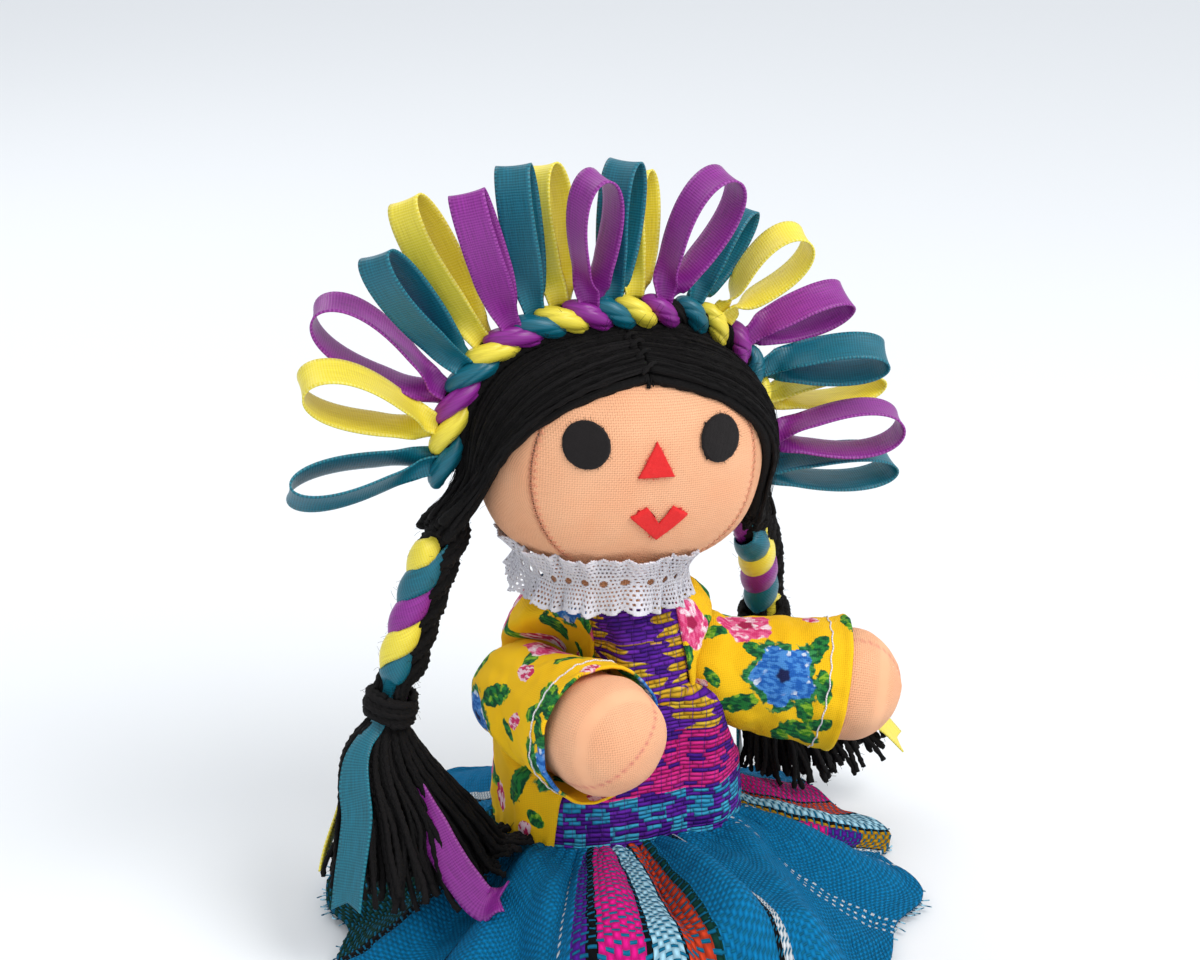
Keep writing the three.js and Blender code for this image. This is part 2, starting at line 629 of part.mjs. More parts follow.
const DENTS = limbCapsules();

// The point drawn in towards the body's middle line until it clears every dent
function drawnIn(point, offset) {
  const clearance = PRESS - offset;
  const drawn = point.clone();
  const clash = ({ centre, radius }) => drawn.distanceTo(centre) < radius + clearance;
  while (DENTS.some(clash)) {
    drawn.x *= 0.97;
    drawn.y *= 0.97;
  }
  return drawn;
}

function bodyForm(offset, from = 0, to = NECK_HEIGHT) {
  const rows = 13;
  const rings = Array.from({ length: rows }, (_, i) => {
    const z = mix(0, NECK_HEIGHT, i / (rows - 1));
    const { x, y } = bodySection(z);
    const outline = ring(vec(0, 0, z), vec(1, 0, 0), vec(0, 1, 0), x + offset, y + offset, 24, BODY_ROUNDNESS);
    return outline.map((point) => drawnIn(point, offset));
  });
  return toSolid(loft(rings)).intersect(box(vec(-FAR, -FAR, from), vec(FAR, FAR, to)));
}

const NECK_OPENING = 5.5; // radius

function bodySkin() {
  const upwards = vec(0.001, 0, 1); // all but straight, so that the rod's cross direction is settled
  const opening = rod(vec(0, 0, NECK_HEIGHT - OPENING_REACH), upwards, 2 * OPENING_REACH, NECK_OPENING);
  const skin = bodyForm(0).subtract(bodyForm(-SKIN, SKIN, NECK_HEIGHT - SKIN)).subtract(opening);
  return solidPiece('torso_skin', skin, SKIN_CLOTH);
}

const bodyStuffing = () => solidPiece('torso_stuffing',
  bodyForm(-SKIN - 4 * GAP, SKIN + GAP, NECK_HEIGHT - SKIN - GAP), STUFFING);

// Front-view outline that widens downwards, as half widths at two heights
function frontPanel(bottom, top, halfBottom, halfTop) {
  return inFront(new THREE.Shape([
    new THREE.Vector2(-halfBottom, bottom),
    new THREE.Vector2(halfBottom, bottom),
    new THREE.Vector2(halfTop, top),
    new THREE.Vector2(-halfTop, top),
  ]));
}

function bodice() {
  const shell = bodyForm(GAP + BODICE_THICK, WAIST_HEIGHT, BLOUSE_TOP)
    .subtract(bodyForm(GAP));
  const panel = frontPanel(WAIST_HEIGHT - 1, BLOUSE_TOP + 1, OPENING_BOTTOM + 3, OPENING_TOP + 3);
  return solidPiece('bodice', shell.intersect(panel), BROCADE);
}

function blouse() {
  const inside = 2 * GAP + BODICE_THICK;
  const shell = bodyForm(inside + CLOTH, WAIST_HEIGHT, BLOUSE_TOP)
    .subtract(bodyForm(inside));
  const opening = frontPanel(WAIST_HEIGHT - 1, BLOUSE_TOP + 1, OPENING_BOTTOM, OPENING_TOP);
  return solidPiece('blouse', shell.subtract(opening), FLORAL_COTTON);
}

// Skirt
function lapHeight(x, y) {
  const { smoothstep } = THREE.MathUtils;
  const sideways = 1 - smoothstep(Math.abs(x), ...LAP.side);
  const ahead = 1 - smoothstep(-y, ...LAP.knee);
  const behind = smoothstep(-y, ...LAP.hip);
  return LAP_HEIGHT * sideways * ahead * behind;
}

// Height of the cloth's hollow line, from the waist (0) to the hem (1)
const skirtCone = (v) => mix(SKIRT_THICK + HEM_RISE, SKIRT_TOP, (1 - v) ** SKIRT_SAG);

function skirtSurface(u, v) {
  const turn = 2 * Math.PI * u;
  const waist = bodySection(SKIRT_TOP);
  const start = onOutline(turn, waist.x + 3 * GAP, waist.y + 3 * GAP, BODY_ROUNDNESS);
  const front = (1 - Math.sin(turn)) / 2;
  const { more, share, shift } = MINOR_FOLDS;
  const fold = Math.cos(SKIRT_FOLDS * turn) + share * Math.cos((SKIRT_FOLDS + more) * turn + shift);
  const hem = mix(SKIRT_BACK, SKIRT_FRONT, front) + HEM_FOLD * fold;
  const end = vec(hem * Math.cos(turn), hem * Math.sin(turn), 0);
  const place = start.lerp(end, v);
  const ripple = (RIPPLE_CREST / 2) * (1 + fold / FOLD_CREST) * Math.sin(Math.PI * v) ** 1.5;
  const cone = skirtCone(v);
  const lap = lapHeight(place.x, place.y);
  const blend = 4; // mm over which the cloth rounds from one into the other
  const rise = Math.max(blend - Math.abs(cone - lap), 0) ** 2 / (4 * blend);
  place.z = mix(SKIRT_TOP, Math.max(cone, lap) + rise + ripple, ease(Math.min(v / WAIST_CURVE, 1)));
  return place;
}

const skirt = () => piece('skirt', roundSheet(skirtSurface, 60, 6, SKIRT_THICK), SKIRT_CLOTH);

// Braids
const BRAIDS = [
  { side: 'right', route: [vec(-31.5, 1, 79.5), vec(-36.5, 0.5, 66), vec(-40.5, 0, 54), vec(-42.5, 0, 46)],
    tasselEnd: vec(-42, -3, 13), spread: { across: 16.5, deep: 9 },
    tied: { teal: -40, yellow: 80, purple: 200 }, hung: { teal: -35, yellow: 25, purple: 250 } },
  { side: 'left', route: [vec(29, 4.5, 72.3), vec(34, 11, 62), vec(37, 16, 52), vec(38.5, 18, 44)],
    tasselEnd: vec(41, 20, 15), spread: { across: 13, deep: 8 },
    tied: { teal: 10, yellow: 250, purple: 130 }, hung: { teal: 30, yellow: 200, purple: 110 } },
];
const TAIL_REACH = { teal: 1.06, yellow: 1.02, purple: 1.04 }; // as a share of the tassel's length

function braidFrames(route, steps) {
  const curve = new THREE.CatmullRomCurve3(route);
  return Array.from({ length: steps + 1 }, (_, i) => {
    const t = i / steps;
    const ahead = curve.getTangentAt(t).normalize();
    const across = vec(0, 1, 0).cross(ahead).normalize();
    return { t, at: curve.getPointAt(t), ahead, across, up: ahead.clone().cross(across) };
  });
}

function braidRadius(t) {
  const { from, to } = BRAID_DRAWN;
  if (t < from) return mix(BRAID_TOP, BRAID_LOW, t / from);
  return mix(BRAID_LOW, BRAID_NECK, ease((t - from) / (to - from)));
}

function braidCore({ route }) {
  const frames = braidFrames(route, 2 * BRAID_KNOTS.count);
  const top = frames[0];
  const rings = [-75, -35].map((angle) => {
    const turn = degToRad(angle);
    const centre = top.at.clone().addScaledVector(top.ahead, BRAID_TOP * Math.sin(turn));
    return ring(centre, top.across, top.up, BRAID_TOP * Math.cos(turn), BRAID_TOP * Math.cos(turn), 10);
  });
  frames.forEach(({ t, at, across, up }, i) => {
    const knot = t < BRAID_DRAWN.from && i % 2 === 1;
    const radius = braidRadius(t) - (knot ? BRAID_KNOTS.depth : 0);
    rings.push(ring(at, across, up, radius, radius, 10));
  });
  return loft(rings);
}

// Loose yarn below the tie: a share s of its length gives its middle and half widths
function tasselSection({ route, tasselEnd, spread }, s) {
  const { at, ahead, across, up } = braidFrames(route, 1)[1];
  const start = at.clone().addScaledVector(ahead, GAP);
  const below = TIE.height / 2;
  const length = start.distanceTo(tasselEnd);
  const straight = start.clone().addScaledVector(ahead, s * length);
  const middle = straight.lerp(start.clone().lerp(tasselEnd, s), ease(Math.min(s * 1.6, 1)));
  const open = THREE.MathUtils.clamp((s * length - below) / (length - below), 0, 1) ** 0.75;
  return {
    middle,
    across,
    up,
    halfAcross: mix(BRAID_NECK, spread.across, open),
    halfDeep: mix(BRAID_NECK, spread.deep, open),
  };
}

// Highest that the skirt's folds stand at a distance from the middle line
function skirtCrest(radius) {
  const waist = bodySection(SKIRT_TOP).x;
  const share = THREE.MathUtils.clamp((radius - waist) / (SKIRT_FRONT - waist), 0, 1);
  return skirtCone(share) + RIPPLE_CREST;
}

// Space kept clear above the skirt, whichever way the head turns
function aboveSkirt() {
  const outline = [new THREE.Vector2(0, 0), new THREE.Vector2(FAR, 0)];
  for (const radius of [FAR, 60, 52, 46, 40, 34, 28, 23, 0]) {
    outline.push(new THREE.Vector2(radius, skirtCrest(radius) + PRESS));
  }
  return toSolid(new THREE.LatheGeometry(outline, 32).rotateX(Math.PI / 2));
}

function tassel(braid) {
  const rings = [0, 0.09, 0.25, 0.45, 0.7, 1].map((s) => {
    const { middle, across, up, halfAcross, halfDeep } = tasselSection(braid, s);
    return ring(middle, across, up, halfAcross, halfDeep, 14);
  });
  return toSolid(loft(rings)).subtract(aboveSkirt());
}

function yarnTie({ route }) {
  const { at, ahead, across, up } = braidFrames(route, 1)[1];
  const disc = (distance, radius) =>
    ring(at.clone().addScaledVector(ahead, distance), across, up, radius, radius, 14);
  const half = TIE.height / 2;
  const barrel = loft([disc(-half, TIE.outer - 0.9), disc(-half * 0.5, TIE.outer), disc(half * 0.5, TIE.outer),
    disc(half, TIE.outer - 0.9)]);
  const bore = loft([disc(-half - 1, TIE.bore), disc(half + 1, TIE.bore)]);
  return toSolid(barrel).subtract(toSolid(bore));
}

// One ribbon: wound down the braid, drawn through the tie, then hanging over the tassel
function braidRibbon(braid, colour) {
  const stations = [];
  const settle = 0.82; // share of the braid that the ribbon winds round
  const woundLength = settle * new THREE.CatmullRomCurve3(braid.route).getLength();
  const tiedTurn = degToRad(braid.tied[colour]);
  const hungTurn = degToRad(braid.hung[colour]);
  for (const { t, at, ahead, across, up } of braidFrames(braid.route, 20).slice(2)) {
    const wound = Math.min(t / settle, 1);
    const turn = tiedTurn - (2 * Math.PI * (1 - wound) * woundLength) / WRAP_PITCH;
    const lay = braidRadius(t) + GAP + RIBBON_THICK + (t < settle ? 0.15 : -0.15);
    const outward = across.clone().multiplyScalar(Math.cos(turn)).addScaledVector(up, Math.sin(turn));
    const sideways = ahead.clone().cross(outward);
    const flat = ease(THREE.MathUtils.clamp((t - settle + 0.1) / 0.14, 0, 1));
    stations.push({
      at: at.clone().addScaledVector(outward, lay),
      across: ahead.clone().multiplyScalar(1 - flat).addScaledVector(sideways, -flat).normalize(),
      width: mix(WRAP_WIDTH, TIED_WIDTH, flat),
    });
  }
  for (const s of [0.08, 0.14, 0.24, 0.36, 0.5, 0.65, 0.82, 1]) {
    const share = s * TAIL_REACH[colour];
    const turn = mix(tiedTurn, hungTurn, ease(s));
    const { middle, across, up, halfAcross, halfDeep } = tasselSection(braid, share);
    const lay = RIBBON_THICK + mix(GAP, PRESS, ease(Math.min(s * 4, 1)));
    const place = middle.clone().addScaledVector(across, (halfAcross + lay) * Math.cos(turn))
      .addScaledVector(up, (halfDeep + lay) * Math.sin(turn));
    const radius = Math.hypot(place.x, place.y);
    place.z = Math.max(place.z, skirtCrest(radius) + 2 * PRESS + RIBBON_THICK);
    const sideways = across.clone().multiplyScalar(Math.sin(turn)).addScaledVector(up, -Math.cos(turn));
    const width = mix(TIED_WIDTH, RIBBON_WIDTH, ease(Math.min(s * 2.5, 1)));
    stations.push({ at: place, across: sideways, width });
  }
  return ribbonBand(stations);
}

const doll = new THREE.Group();

const head = new THREE.Group();
const headPivot = new THREE.Group();
headPivot.position.set(0, 0, NECK_HEIGHT);
headPivot.rotation.y = HEAD_TILT;
head.position.set(0, 0, HEAD_CENTRE_HEIGHT - NECK_HEIGHT);
headPivot.add(head);
headPivot.updateMatrixWorld(true);
const braidTops = BRAIDS.map(({ route }) => head.worldToLocal(route[0].clone()));

head.add(facePanel(), headBackPanel());
head.add(solidPiece('head_stuffing', headForm(-SKIN - GAP), STUFFING));
head.add(feltPatch('eye_right', circle(EYE_RADIUS, -EYE_SPREAD, EYE_RISE), BLACK_FELT));
head.add(feltPatch('eye_left', circle(EYE_RADIUS, EYE_SPREAD, EYE_RISE), BLACK_FELT));
head.add(feltPatch('nose', noseShape(), RED_FELT));
head.add(feltPatch('mouth', mouthShape(), RED_FELT));
head.add(hairHalf('right', braidTops), hairHalf('left', braidTops));
head.add(partingStitch(), crownCore(), ...crownLoops(), laceCollar());
doll.add(headPivot);

doll.add(bodySkin(), bodyStuffing(), bodice(), blouse(), skirt());
for (const each of ARMS) doll.add(arm(each));
for (const each of LEGS) doll.add(leg(each));

for (const braid of BRAIDS) {
  const { side } = braid;
  doll.add(piece(`braid_${side}`, braidCore(braid), BLACK_YARN));
  doll.add(solidPiece(`braid_tie_${side}`, yarnTie(braid), BLACK_YARN));
  doll.add(solidPiece(`tassel_${side}`, tassel(braid), BLACK_YARN));
  for (const colour of LOOP_COLOURS) {
    doll.add(piece(`braid_ribbon_${colour}_${side}`, braidRibbon(braid, colour), SATIN[colour]));
  }
}

export default doll;
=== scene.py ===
import math

import bpy
import numpy as np
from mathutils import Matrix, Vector
from mathutils.bvhtree import BVHTree


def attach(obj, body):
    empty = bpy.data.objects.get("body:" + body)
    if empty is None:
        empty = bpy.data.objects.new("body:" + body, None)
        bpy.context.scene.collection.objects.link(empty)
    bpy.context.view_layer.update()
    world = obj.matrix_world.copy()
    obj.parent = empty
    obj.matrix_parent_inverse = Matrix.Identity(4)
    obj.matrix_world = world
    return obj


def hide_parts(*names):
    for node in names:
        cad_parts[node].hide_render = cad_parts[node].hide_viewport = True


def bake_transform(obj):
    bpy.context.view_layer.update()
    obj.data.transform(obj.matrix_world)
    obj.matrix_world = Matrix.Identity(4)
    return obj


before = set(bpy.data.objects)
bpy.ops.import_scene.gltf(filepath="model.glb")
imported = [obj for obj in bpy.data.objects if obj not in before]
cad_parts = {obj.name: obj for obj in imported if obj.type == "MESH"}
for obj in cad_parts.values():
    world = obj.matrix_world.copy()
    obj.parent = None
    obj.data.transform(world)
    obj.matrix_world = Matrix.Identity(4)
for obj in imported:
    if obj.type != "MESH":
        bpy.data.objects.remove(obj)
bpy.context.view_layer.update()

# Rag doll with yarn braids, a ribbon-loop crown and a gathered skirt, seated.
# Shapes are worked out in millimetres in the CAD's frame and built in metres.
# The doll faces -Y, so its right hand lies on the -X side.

MM = 0.001
UP = np.array([0.0, 0.0, 1.0])
FRONT = np.array([0.0, -1.0, 0.0])

# Sizes shared with the CAD, in millimetres
RIBBON_WIDTH = 6.35
HEAD_HALF = np.array([26.0, 19.5, 20.0])
HEAD_ROUNDNESS = 2.5
NECK_HEIGHT = 69.4
HEAD_CENTRE_HEIGHT = 90.0
HEAD_TILT = math.radians(4)
SKIN = 0.8
FACE_PANEL_RADIUS = 21.0
FACE_PANEL_RISE = 2.0
FELT = 0.6
EYE_RADIUS = 4.0
EYE_SPREAD = 12.3
EYE_RISE = 8.1
NOSE = {"width": 6.9, "height": 6.4, "rise": 2.4}
MOUTH = {"width": 11.0, "height": 6.6, "notch": 3.2, "rise": -9.6, "shift": 1.2}
HAIR_THICK = 3.0
CROWN_CORE = 2.2
CROWN_BACK = 3.0
CROWN_LAG = 7.0
CROWN_ENDS = (184.0, -19.0)
GAP = 0.3
BODY_ROUNDNESS = 2.3
SHOULDER = np.array([18.5, -3.0, 46.0])
ARM_LENGTH = 37.0
SLEEVE_END = 25.0
LEG_LENGTH = 33.0
HIP = np.array([10.0, -17.2, 7.1])
LEG_SPLAY = math.radians(6)
BLOUSE_TOP = 64.0
OPENING_TOP = 8.5
OPENING_BOTTOM = 16.0
SKIRT_TOP = 16.8
SKIRT_THICK = 1.0
SKIRT_BACK = 50.0
SKIRT_FRONT = 60.0
SKIRT_FOLDS = 13
HEM_FOLD = 2.2
RIPPLE_CREST = 3.0
FOLD_CREST = 1.45
LAP_HEIGHT = 16.9
LACE_TOP = -15.2
LACE_BOTTOM = -25.2


# Vectors
def vec(x, y, z):
    return np.array([x, y, z], float)


def unit(v):
    v = np.asarray(v, float)
    return v / np.maximum(np.linalg.norm(v, axis=-1, keepdims=True), 1e-9)


def mix(a, b, t):
    return a + (b - a) * t


def ease(t):
    t = np.clip(t, 0, 1)
    return t * t * (3 - 2 * t)


def bump(x, centre, half):
    """A smooth bump, 1 at the centre and 0 a half width away."""
    return ease(1 - np.abs(x - centre) / half)


def waves(points, length, seed, count=7):
    """Smooth uneven waves of about one length, near -1 to 1, over points in mm."""
    rng = np.random.default_rng(seed)
    directions = unit(rng.normal(size=(count, 3))) * 2 * math.pi / length
    directions *= rng.uniform(0.6, 1.5, size=(count, 1))
    phases = rng.uniform(0, 2 * math.pi, count)
    return np.sin(np.asarray(points) @ directions.T + phases).mean(axis=-1) * 1.7


def on_circle(across, above, angle):
    """Directions at angles from one direction towards another at right angles to it."""
    return across * np.cos(angle)[..., None] + above * np.sin(angle)[..., None]


def turned(v, axis, angle):
    """Vectors turned about an axis by an angle in radians."""
    axis = unit(axis)
    cross = np.cross(axis, v)
    along = (np.asarray(v) @ axis)[..., None] * axis
    return v * np.cos(angle) + cross * np.sin(angle) + along * (1 - np.cos(angle))


def spline(route, count):
    """Points at even lengths along a smooth curve through the route."""
    route = np.asarray(route, float)
    ends = np.vstack([2 * route[0] - route[1], route, 2 * route[-1] - route[-2]])
    fine = []
    for a, b, c, d in zip(ends, ends[1:], ends[2:], ends[3:]):
        t = np.linspace(0, 1, 24, endpoint=False)[:, None]
        fine.append(0.5 * (2 * b + (c - a) * t + (2 * a - 5 * b + 4 * c - d) * t**2
                           + (3 * b - a - 3 * c + d) * t**3))
    fine = np.vstack(fine + [route[-1:]])
    return resample(fine, count)


def evenly(reach, values, count):
    """Values at the points of a line, read off again at even steps of its length."""
    even = np.linspace(0, reach[-1], count)
    if values.ndim == 1:
        return np.interp(even, reach, values)
    return np.stack([np.interp(even, reach, column) for column in values.T], axis=1)


def resample(line, count):
    return evenly(lengths(line), line, count)


def lengths(line):
    """Length along a line up to each of its points."""
    steps = np.linalg.norm(np.diff(line, axis=-2), axis=-1)
    return np.concatenate([np.zeros(steps.shape[:-1] + (1,)), np.cumsum(steps, axis=-1)], axis=-1)


def head_to_world(points):
    """Points in the head's frame, about its centre, as they lie on the leaning head."""
    points = np.asarray(points, float)
    x, y, z = points[..., 0], points[..., 1], points[..., 2] + HEAD_CENTRE_HEIGHT - NECK_HEIGHT
    c, s = math.cos(HEAD_TILT), math.sin(HEAD_TILT)
    return np.stack([x * c + z * s, y, -x * s + z * c + NECK_HEIGHT], axis=-1)


def world_to_head(points):
    """Points on the leaning head in the head's own frame."""
    points = np.asarray(points, float)
    x, y, z = points[..., 0], points[..., 1], points[..., 2] - NECK_HEIGHT
    c, s = math.cos(HEAD_TILT), math.sin(HEAD_TILT)
    return np.stack([x * c - z * s, y, x * s + z * c - HEAD_CENTRE_HEIGHT + NECK_HEIGHT], axis=-1)


# Meshes
def disc(count):
    """A square grid of points spread over a disc of radius 1."""
    a, b = np.meshgrid(np.linspace(-1, 1, count), np.linspace(-1, 1, count), indexing="ij")
    return np.stack([a * np.sqrt(1 - b * b / 2), b * np.sqrt(1 - a * a / 2)], axis=-1)


def grid_normals(points, wrap):
    """Unit normals of a grid, along its columns crossed with along its rows."""
    down = np.gradient(points, axis=0)
    if wrap:
        over = (np.roll(points, -1, axis=1) - np.roll(points, 1, axis=1)) / 2
    else:
        over = np.gradient(points, axis=1)
    return unit(np.cross(over, down))


def strip(layers, rows, columns):
    """Quads as (layer, row, column) corners, from four lists of places."""
    corners = [np.stack(np.broadcast_arrays(layer, row, column), axis=-1)
               for layer, row, column in zip(layers, rows, columns)]
    return np.stack(corners, axis=1)


def sheet_faces(rows, columns, wrap, capped):
    """Faces of a closed sheet, outer layer 0 and inner layer 1; capped leaves out the last rim."""
    span = columns if wrap else columns - 1
    i, j = (a.ravel() for a in np.meshgrid(np.arange(rows - 1), np.arange(span), indexing="ij"))
    k = np.arange(span)
    faces = [
        strip([0, 0, 0, 0], [i, i, i + 1, i + 1], [j, j + 1, j + 1, j]),
        strip([1, 1, 1, 1], [i, i + 1, i + 1, i], [j, j, j + 1, j + 1]),
        strip([0, 1, 1, 0], [0, 0, 0, 0], [k, k, k + 1, k + 1]),
    ]
    last = rows - 1
    if not capped:
        faces.append(strip([0, 0, 1, 1], [last] * 4, [k, k + 1, k + 1, k]))
    if not wrap:
        m = np.arange(rows - 1)
        end = columns - 1
        faces.append(strip([0, 0, 1, 1], [m, m + 1, m + 1, m], [0] * 4))
        faces.append(strip([0, 1, 1, 0], [m, m, m + 1, m + 1], [end] * 4))
    return np.concatenate(faces)


class Shape:
    """The points and faces of one piece in mm, gathered part by part."""

    def __init__(self):
        self.points = []
        self.faces = []
        self.flats = []
        self.tones = []
        self.marks = []
        self.count = 0

    def add(self, points, faces, flats, tone, mark):
        """faces: arrays of point numbers, a row for each face. flats: each corner's place laid flat."""
        points = np.asarray(points, float).reshape(-1, 3)
        self.points.append(points)
        self.tones.append(np.broadcast_to(np.asarray(tone, float), len(points)))
        self.marks.append(np.broadcast_to(np.asarray(mark, float), len(points)))
        for face, flat in zip(faces, flats):
            self.faces.append(face + self.count)
            self.flats.append(flat)
        self.count += len(points)

    def sheet(self, outer, thickness, flat, wrap=False, tone=0.5, mark=0.0, cap=False):
        """A closed sheet under a grid of points. Where it wraps, flat has one more column than the grid."""
        rows, columns = outer.shape[:2]
        inner = outer - grid_normals(outer, wrap) * thickness
        faces = sheet_faces(rows, columns, wrap, cap)
        layer, row, column = faces[..., 0], faces[..., 1], faces[..., 2]
        numbers = layer * rows * columns + row * columns + column % columns
        sets, flats = [numbers], [flat[row, column]]
        if cap:
            ends = np.arange(columns) + (rows - 1) * columns
            sets += [ends[None, :], (ends + rows * columns)[None, ::-1]]
            flats += [flat[-1, :columns][None], flat[-1, :columns][None, ::-1]]
        tone, mark = (np.tile(np.broadcast_to(a, (rows, columns)).ravel(), 2) for a in (tone, mark))
        self.add(np.concatenate([outer.reshape(-1, 3), inner.reshape(-1, 3)]), sets, flats, tone, mark)

    def tubes(self, paths, radius, sides, tone=0.5, ply=0.0, pitch=3.2):
        """Closed tubes along paths of equal count. ply deepens a two-strand twist of that pitch."""
        paths = np.asarray(paths, float)
        many, steps = paths.shape[:2]
        ahead = unit(np.gradient(paths, axis=1))
        normal = np.linalg.svd(ahead, full_matrices=False)[2][:, 2][:, None, :]
        side = unit(np.cross(ahead, normal))
        above = np.cross(ahead, side)
        reach = lengths(paths)
        angle = np.linspace(0, 2 * math.pi, sides + 1)
        radius = np.broadcast_to(np.asarray(radius, float), (many, steps))[..., None]
        swell = radius * (1 + ply * np.cos(2 * angle - 4 * math.pi * reach[..., None] / pitch))
        points = paths[:, :, None, :] + (swell * np.cos(angle))[..., None] * side[:, :, None, :]
        points = points + (swell * np.sin(angle))[..., None] * above[:, :, None, :]
        flat = np.stack(np.broadcast_arrays(angle * radius, reach[..., None]), axis=-1)
        i, j = (a.ravel() for a in np.meshgrid(np.arange(steps - 1), np.arange(sides), indexing="ij"))
        k = (j + 1) % sides
        quads = np.stack([i * sides + j, (i + 1) * sides + j, (i + 1) * sides + k, i * sides + k], axis=1)
        rows = np.stack([i, i + 1, i + 1, i], axis=1)
        columns = np.stack([j, j, j + 1, j + 1], axis=1)
        start = np.arange(sides)[None]
        end = start[:, ::-1] + (steps - 1) * sides
        each = np.arange(many) * steps * sides
        tone = np.broadcast_to(np.asarray(tone, float), many)
        quads = (quads[None] + each[:, None, None]).reshape(-1, 4)
        sets = [quads, start + each[:, None], end + each[:, None]]
        flats = [flat[:, rows, columns].reshape(-1, 4, 2), flat[:, 0, :sides], flat[:, -1, :sides]]
        self.add(points[:, :, :sides].reshape(-1, 3), sets, flats, np.repeat(tone, steps * sides), 0.0)

    def build(self, name, material, smooth=True):
        """The piece as a Blender object, in metres."""
        corners = np.concatenate([f.ravel() for f in self.faces])
        sizes = np.concatenate([np.full(len(f), f.shape[1]) for f in self.faces])
        mesh = bpy.data.meshes.new(name)
        mesh.vertices.add(self.count)
        mesh.vertices.foreach_set("co", (np.concatenate(self.points) * MM).ravel())
        mesh.loops.add(len(corners))
        mesh.loops.foreach_set("vertex_index", corners.astype(np.int32))
        mesh.polygons.add(len(sizes))
        starts = np.concatenate([[0], np.cumsum(sizes)[:-1]])
        mesh.polygons.foreach_set("loop_start", starts.astype(np.int32))
        mesh.polygons.foreach_set("use_smooth", np.full(len(sizes), smooth))
        mesh.update(calc_edges=True)
        flat = mesh.uv_layers.new(name="flat")
        flat.data.foreach_set("uv", np.concatenate([f.reshape(-1, 2) for f in self.flats]).ravel())
        for label, values in (("tone", self.tones), ("mark", self.marks)):
            attribute = mesh.attributes.new(label, "FLOAT", "POINT")
            attribute.data.foreach_set("value", np.concatenate(values).astype(np.float32))
        mesh.materials.append(material)
        piece = bpy.data.objects.new(name, mesh)
        bpy.context.scene.collection.objects.link(piece)
        return piece


def apply_modifiers(piece):
    """Gives the piece the mesh that its modifiers make."""
    bpy.context.view_layer.update()
    evaluated = piece.evaluated_get(bpy.context.evaluated_depsgraph_get())
    mesh = bpy.data.meshes.new_from_object(evaluated)
    piece.modifiers.clear()
    piece.data = mesh
    return mesh


def soft_copy(node, voxel, passes, material):
    """The CAD solid of a hidden soft part, remeshed and rounded, as its own piece."""
    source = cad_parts[node]
    piece = bpy.data.objects.new(node + "_soft", source.data.copy())
    bpy.context.scene.collection.objects.link(piece)
    remesh = piece.modifiers.new("even", "REMESH")
    remesh.mode = "VOXEL"
    remesh.voxel_size = voxel * MM
    rounding = piece.modifiers.new("round", "SMOOTH")
    rounding.iterations = passes
    mesh = apply_modifiers(piece)
    mesh.materials.clear()
    mesh.materials.append(material)
    mesh.polygons.foreach_set("use_smooth", np.full(len(mesh.polygons), True))
    return piece


def place(piece, body, slot, *nodes):
    """A piece rides on a body and stands for its CAD nodes, which are hidden. The slot is not used."""
    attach(piece, body)
    if nodes:
        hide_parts(*nodes)
    return piece


def sheet_piece(name, material, where, *sheet, **options):
    """A piece of one closed sheet. where gives its body, slot and CAD node."""
    shape = Shape()
    shape.sheet(*sheet, **options)
    return place(shape.build(name, material), *where)


# Materials
def colour(hexes):
    """A colour written as rrggbb, as Blender's linear values."""
    parts = [int(hexes[k:k + 2], 16) / 255 for k in (0, 2, 4)]
    return [p / 12.92 if p <= 0.04045 else ((p + 0.055) / 1.055) ** 2.4 for p in parts] + [1.0]


class Value:
    """A number in a material's nodes, which can be written into sums."""

    def __init__(self, finish, socket):
        self.math = finish.math
        self.socket = socket

    def __add__(self, other):
        return self.math("ADD", self, other)

    def __sub__(self, other):
        return self.math("SUBTRACT", self, other)

    def __rsub__(self, other):
        return self.math("SUBTRACT", other, self)

    def __mul__(self, other):
        return self.math("MULTIPLY", self, other)

    def __truediv__(self, other):
        return self.math("DIVIDE", self, other)

    def __pow__(self, other):
        return self.math("POWER", self, other)

    def __abs__(self):
        return self.math("ABSOLUTE", self)

    __radd__ = __add__
    __rmul__ = __mul__

    def sine(self):
        return self.math("SINE", self)

    def floor(self):
        return self.math("FLOOR", self)

    def fraction(self):
        return self.math("FRACT", self)

    def to_and_fro(self, length):
        return self.math("PINGPONG", self, length)

    def at_least(self, other):
        return self.math("MAXIMUM", self, other)

    def at_most(self, other):
        return self.math("MINIMUM", self, other)


# Places of the colour sockets of Blender's Mix node
MIX_A, MIX_B, MIX_RESULT = 6, 7, 2


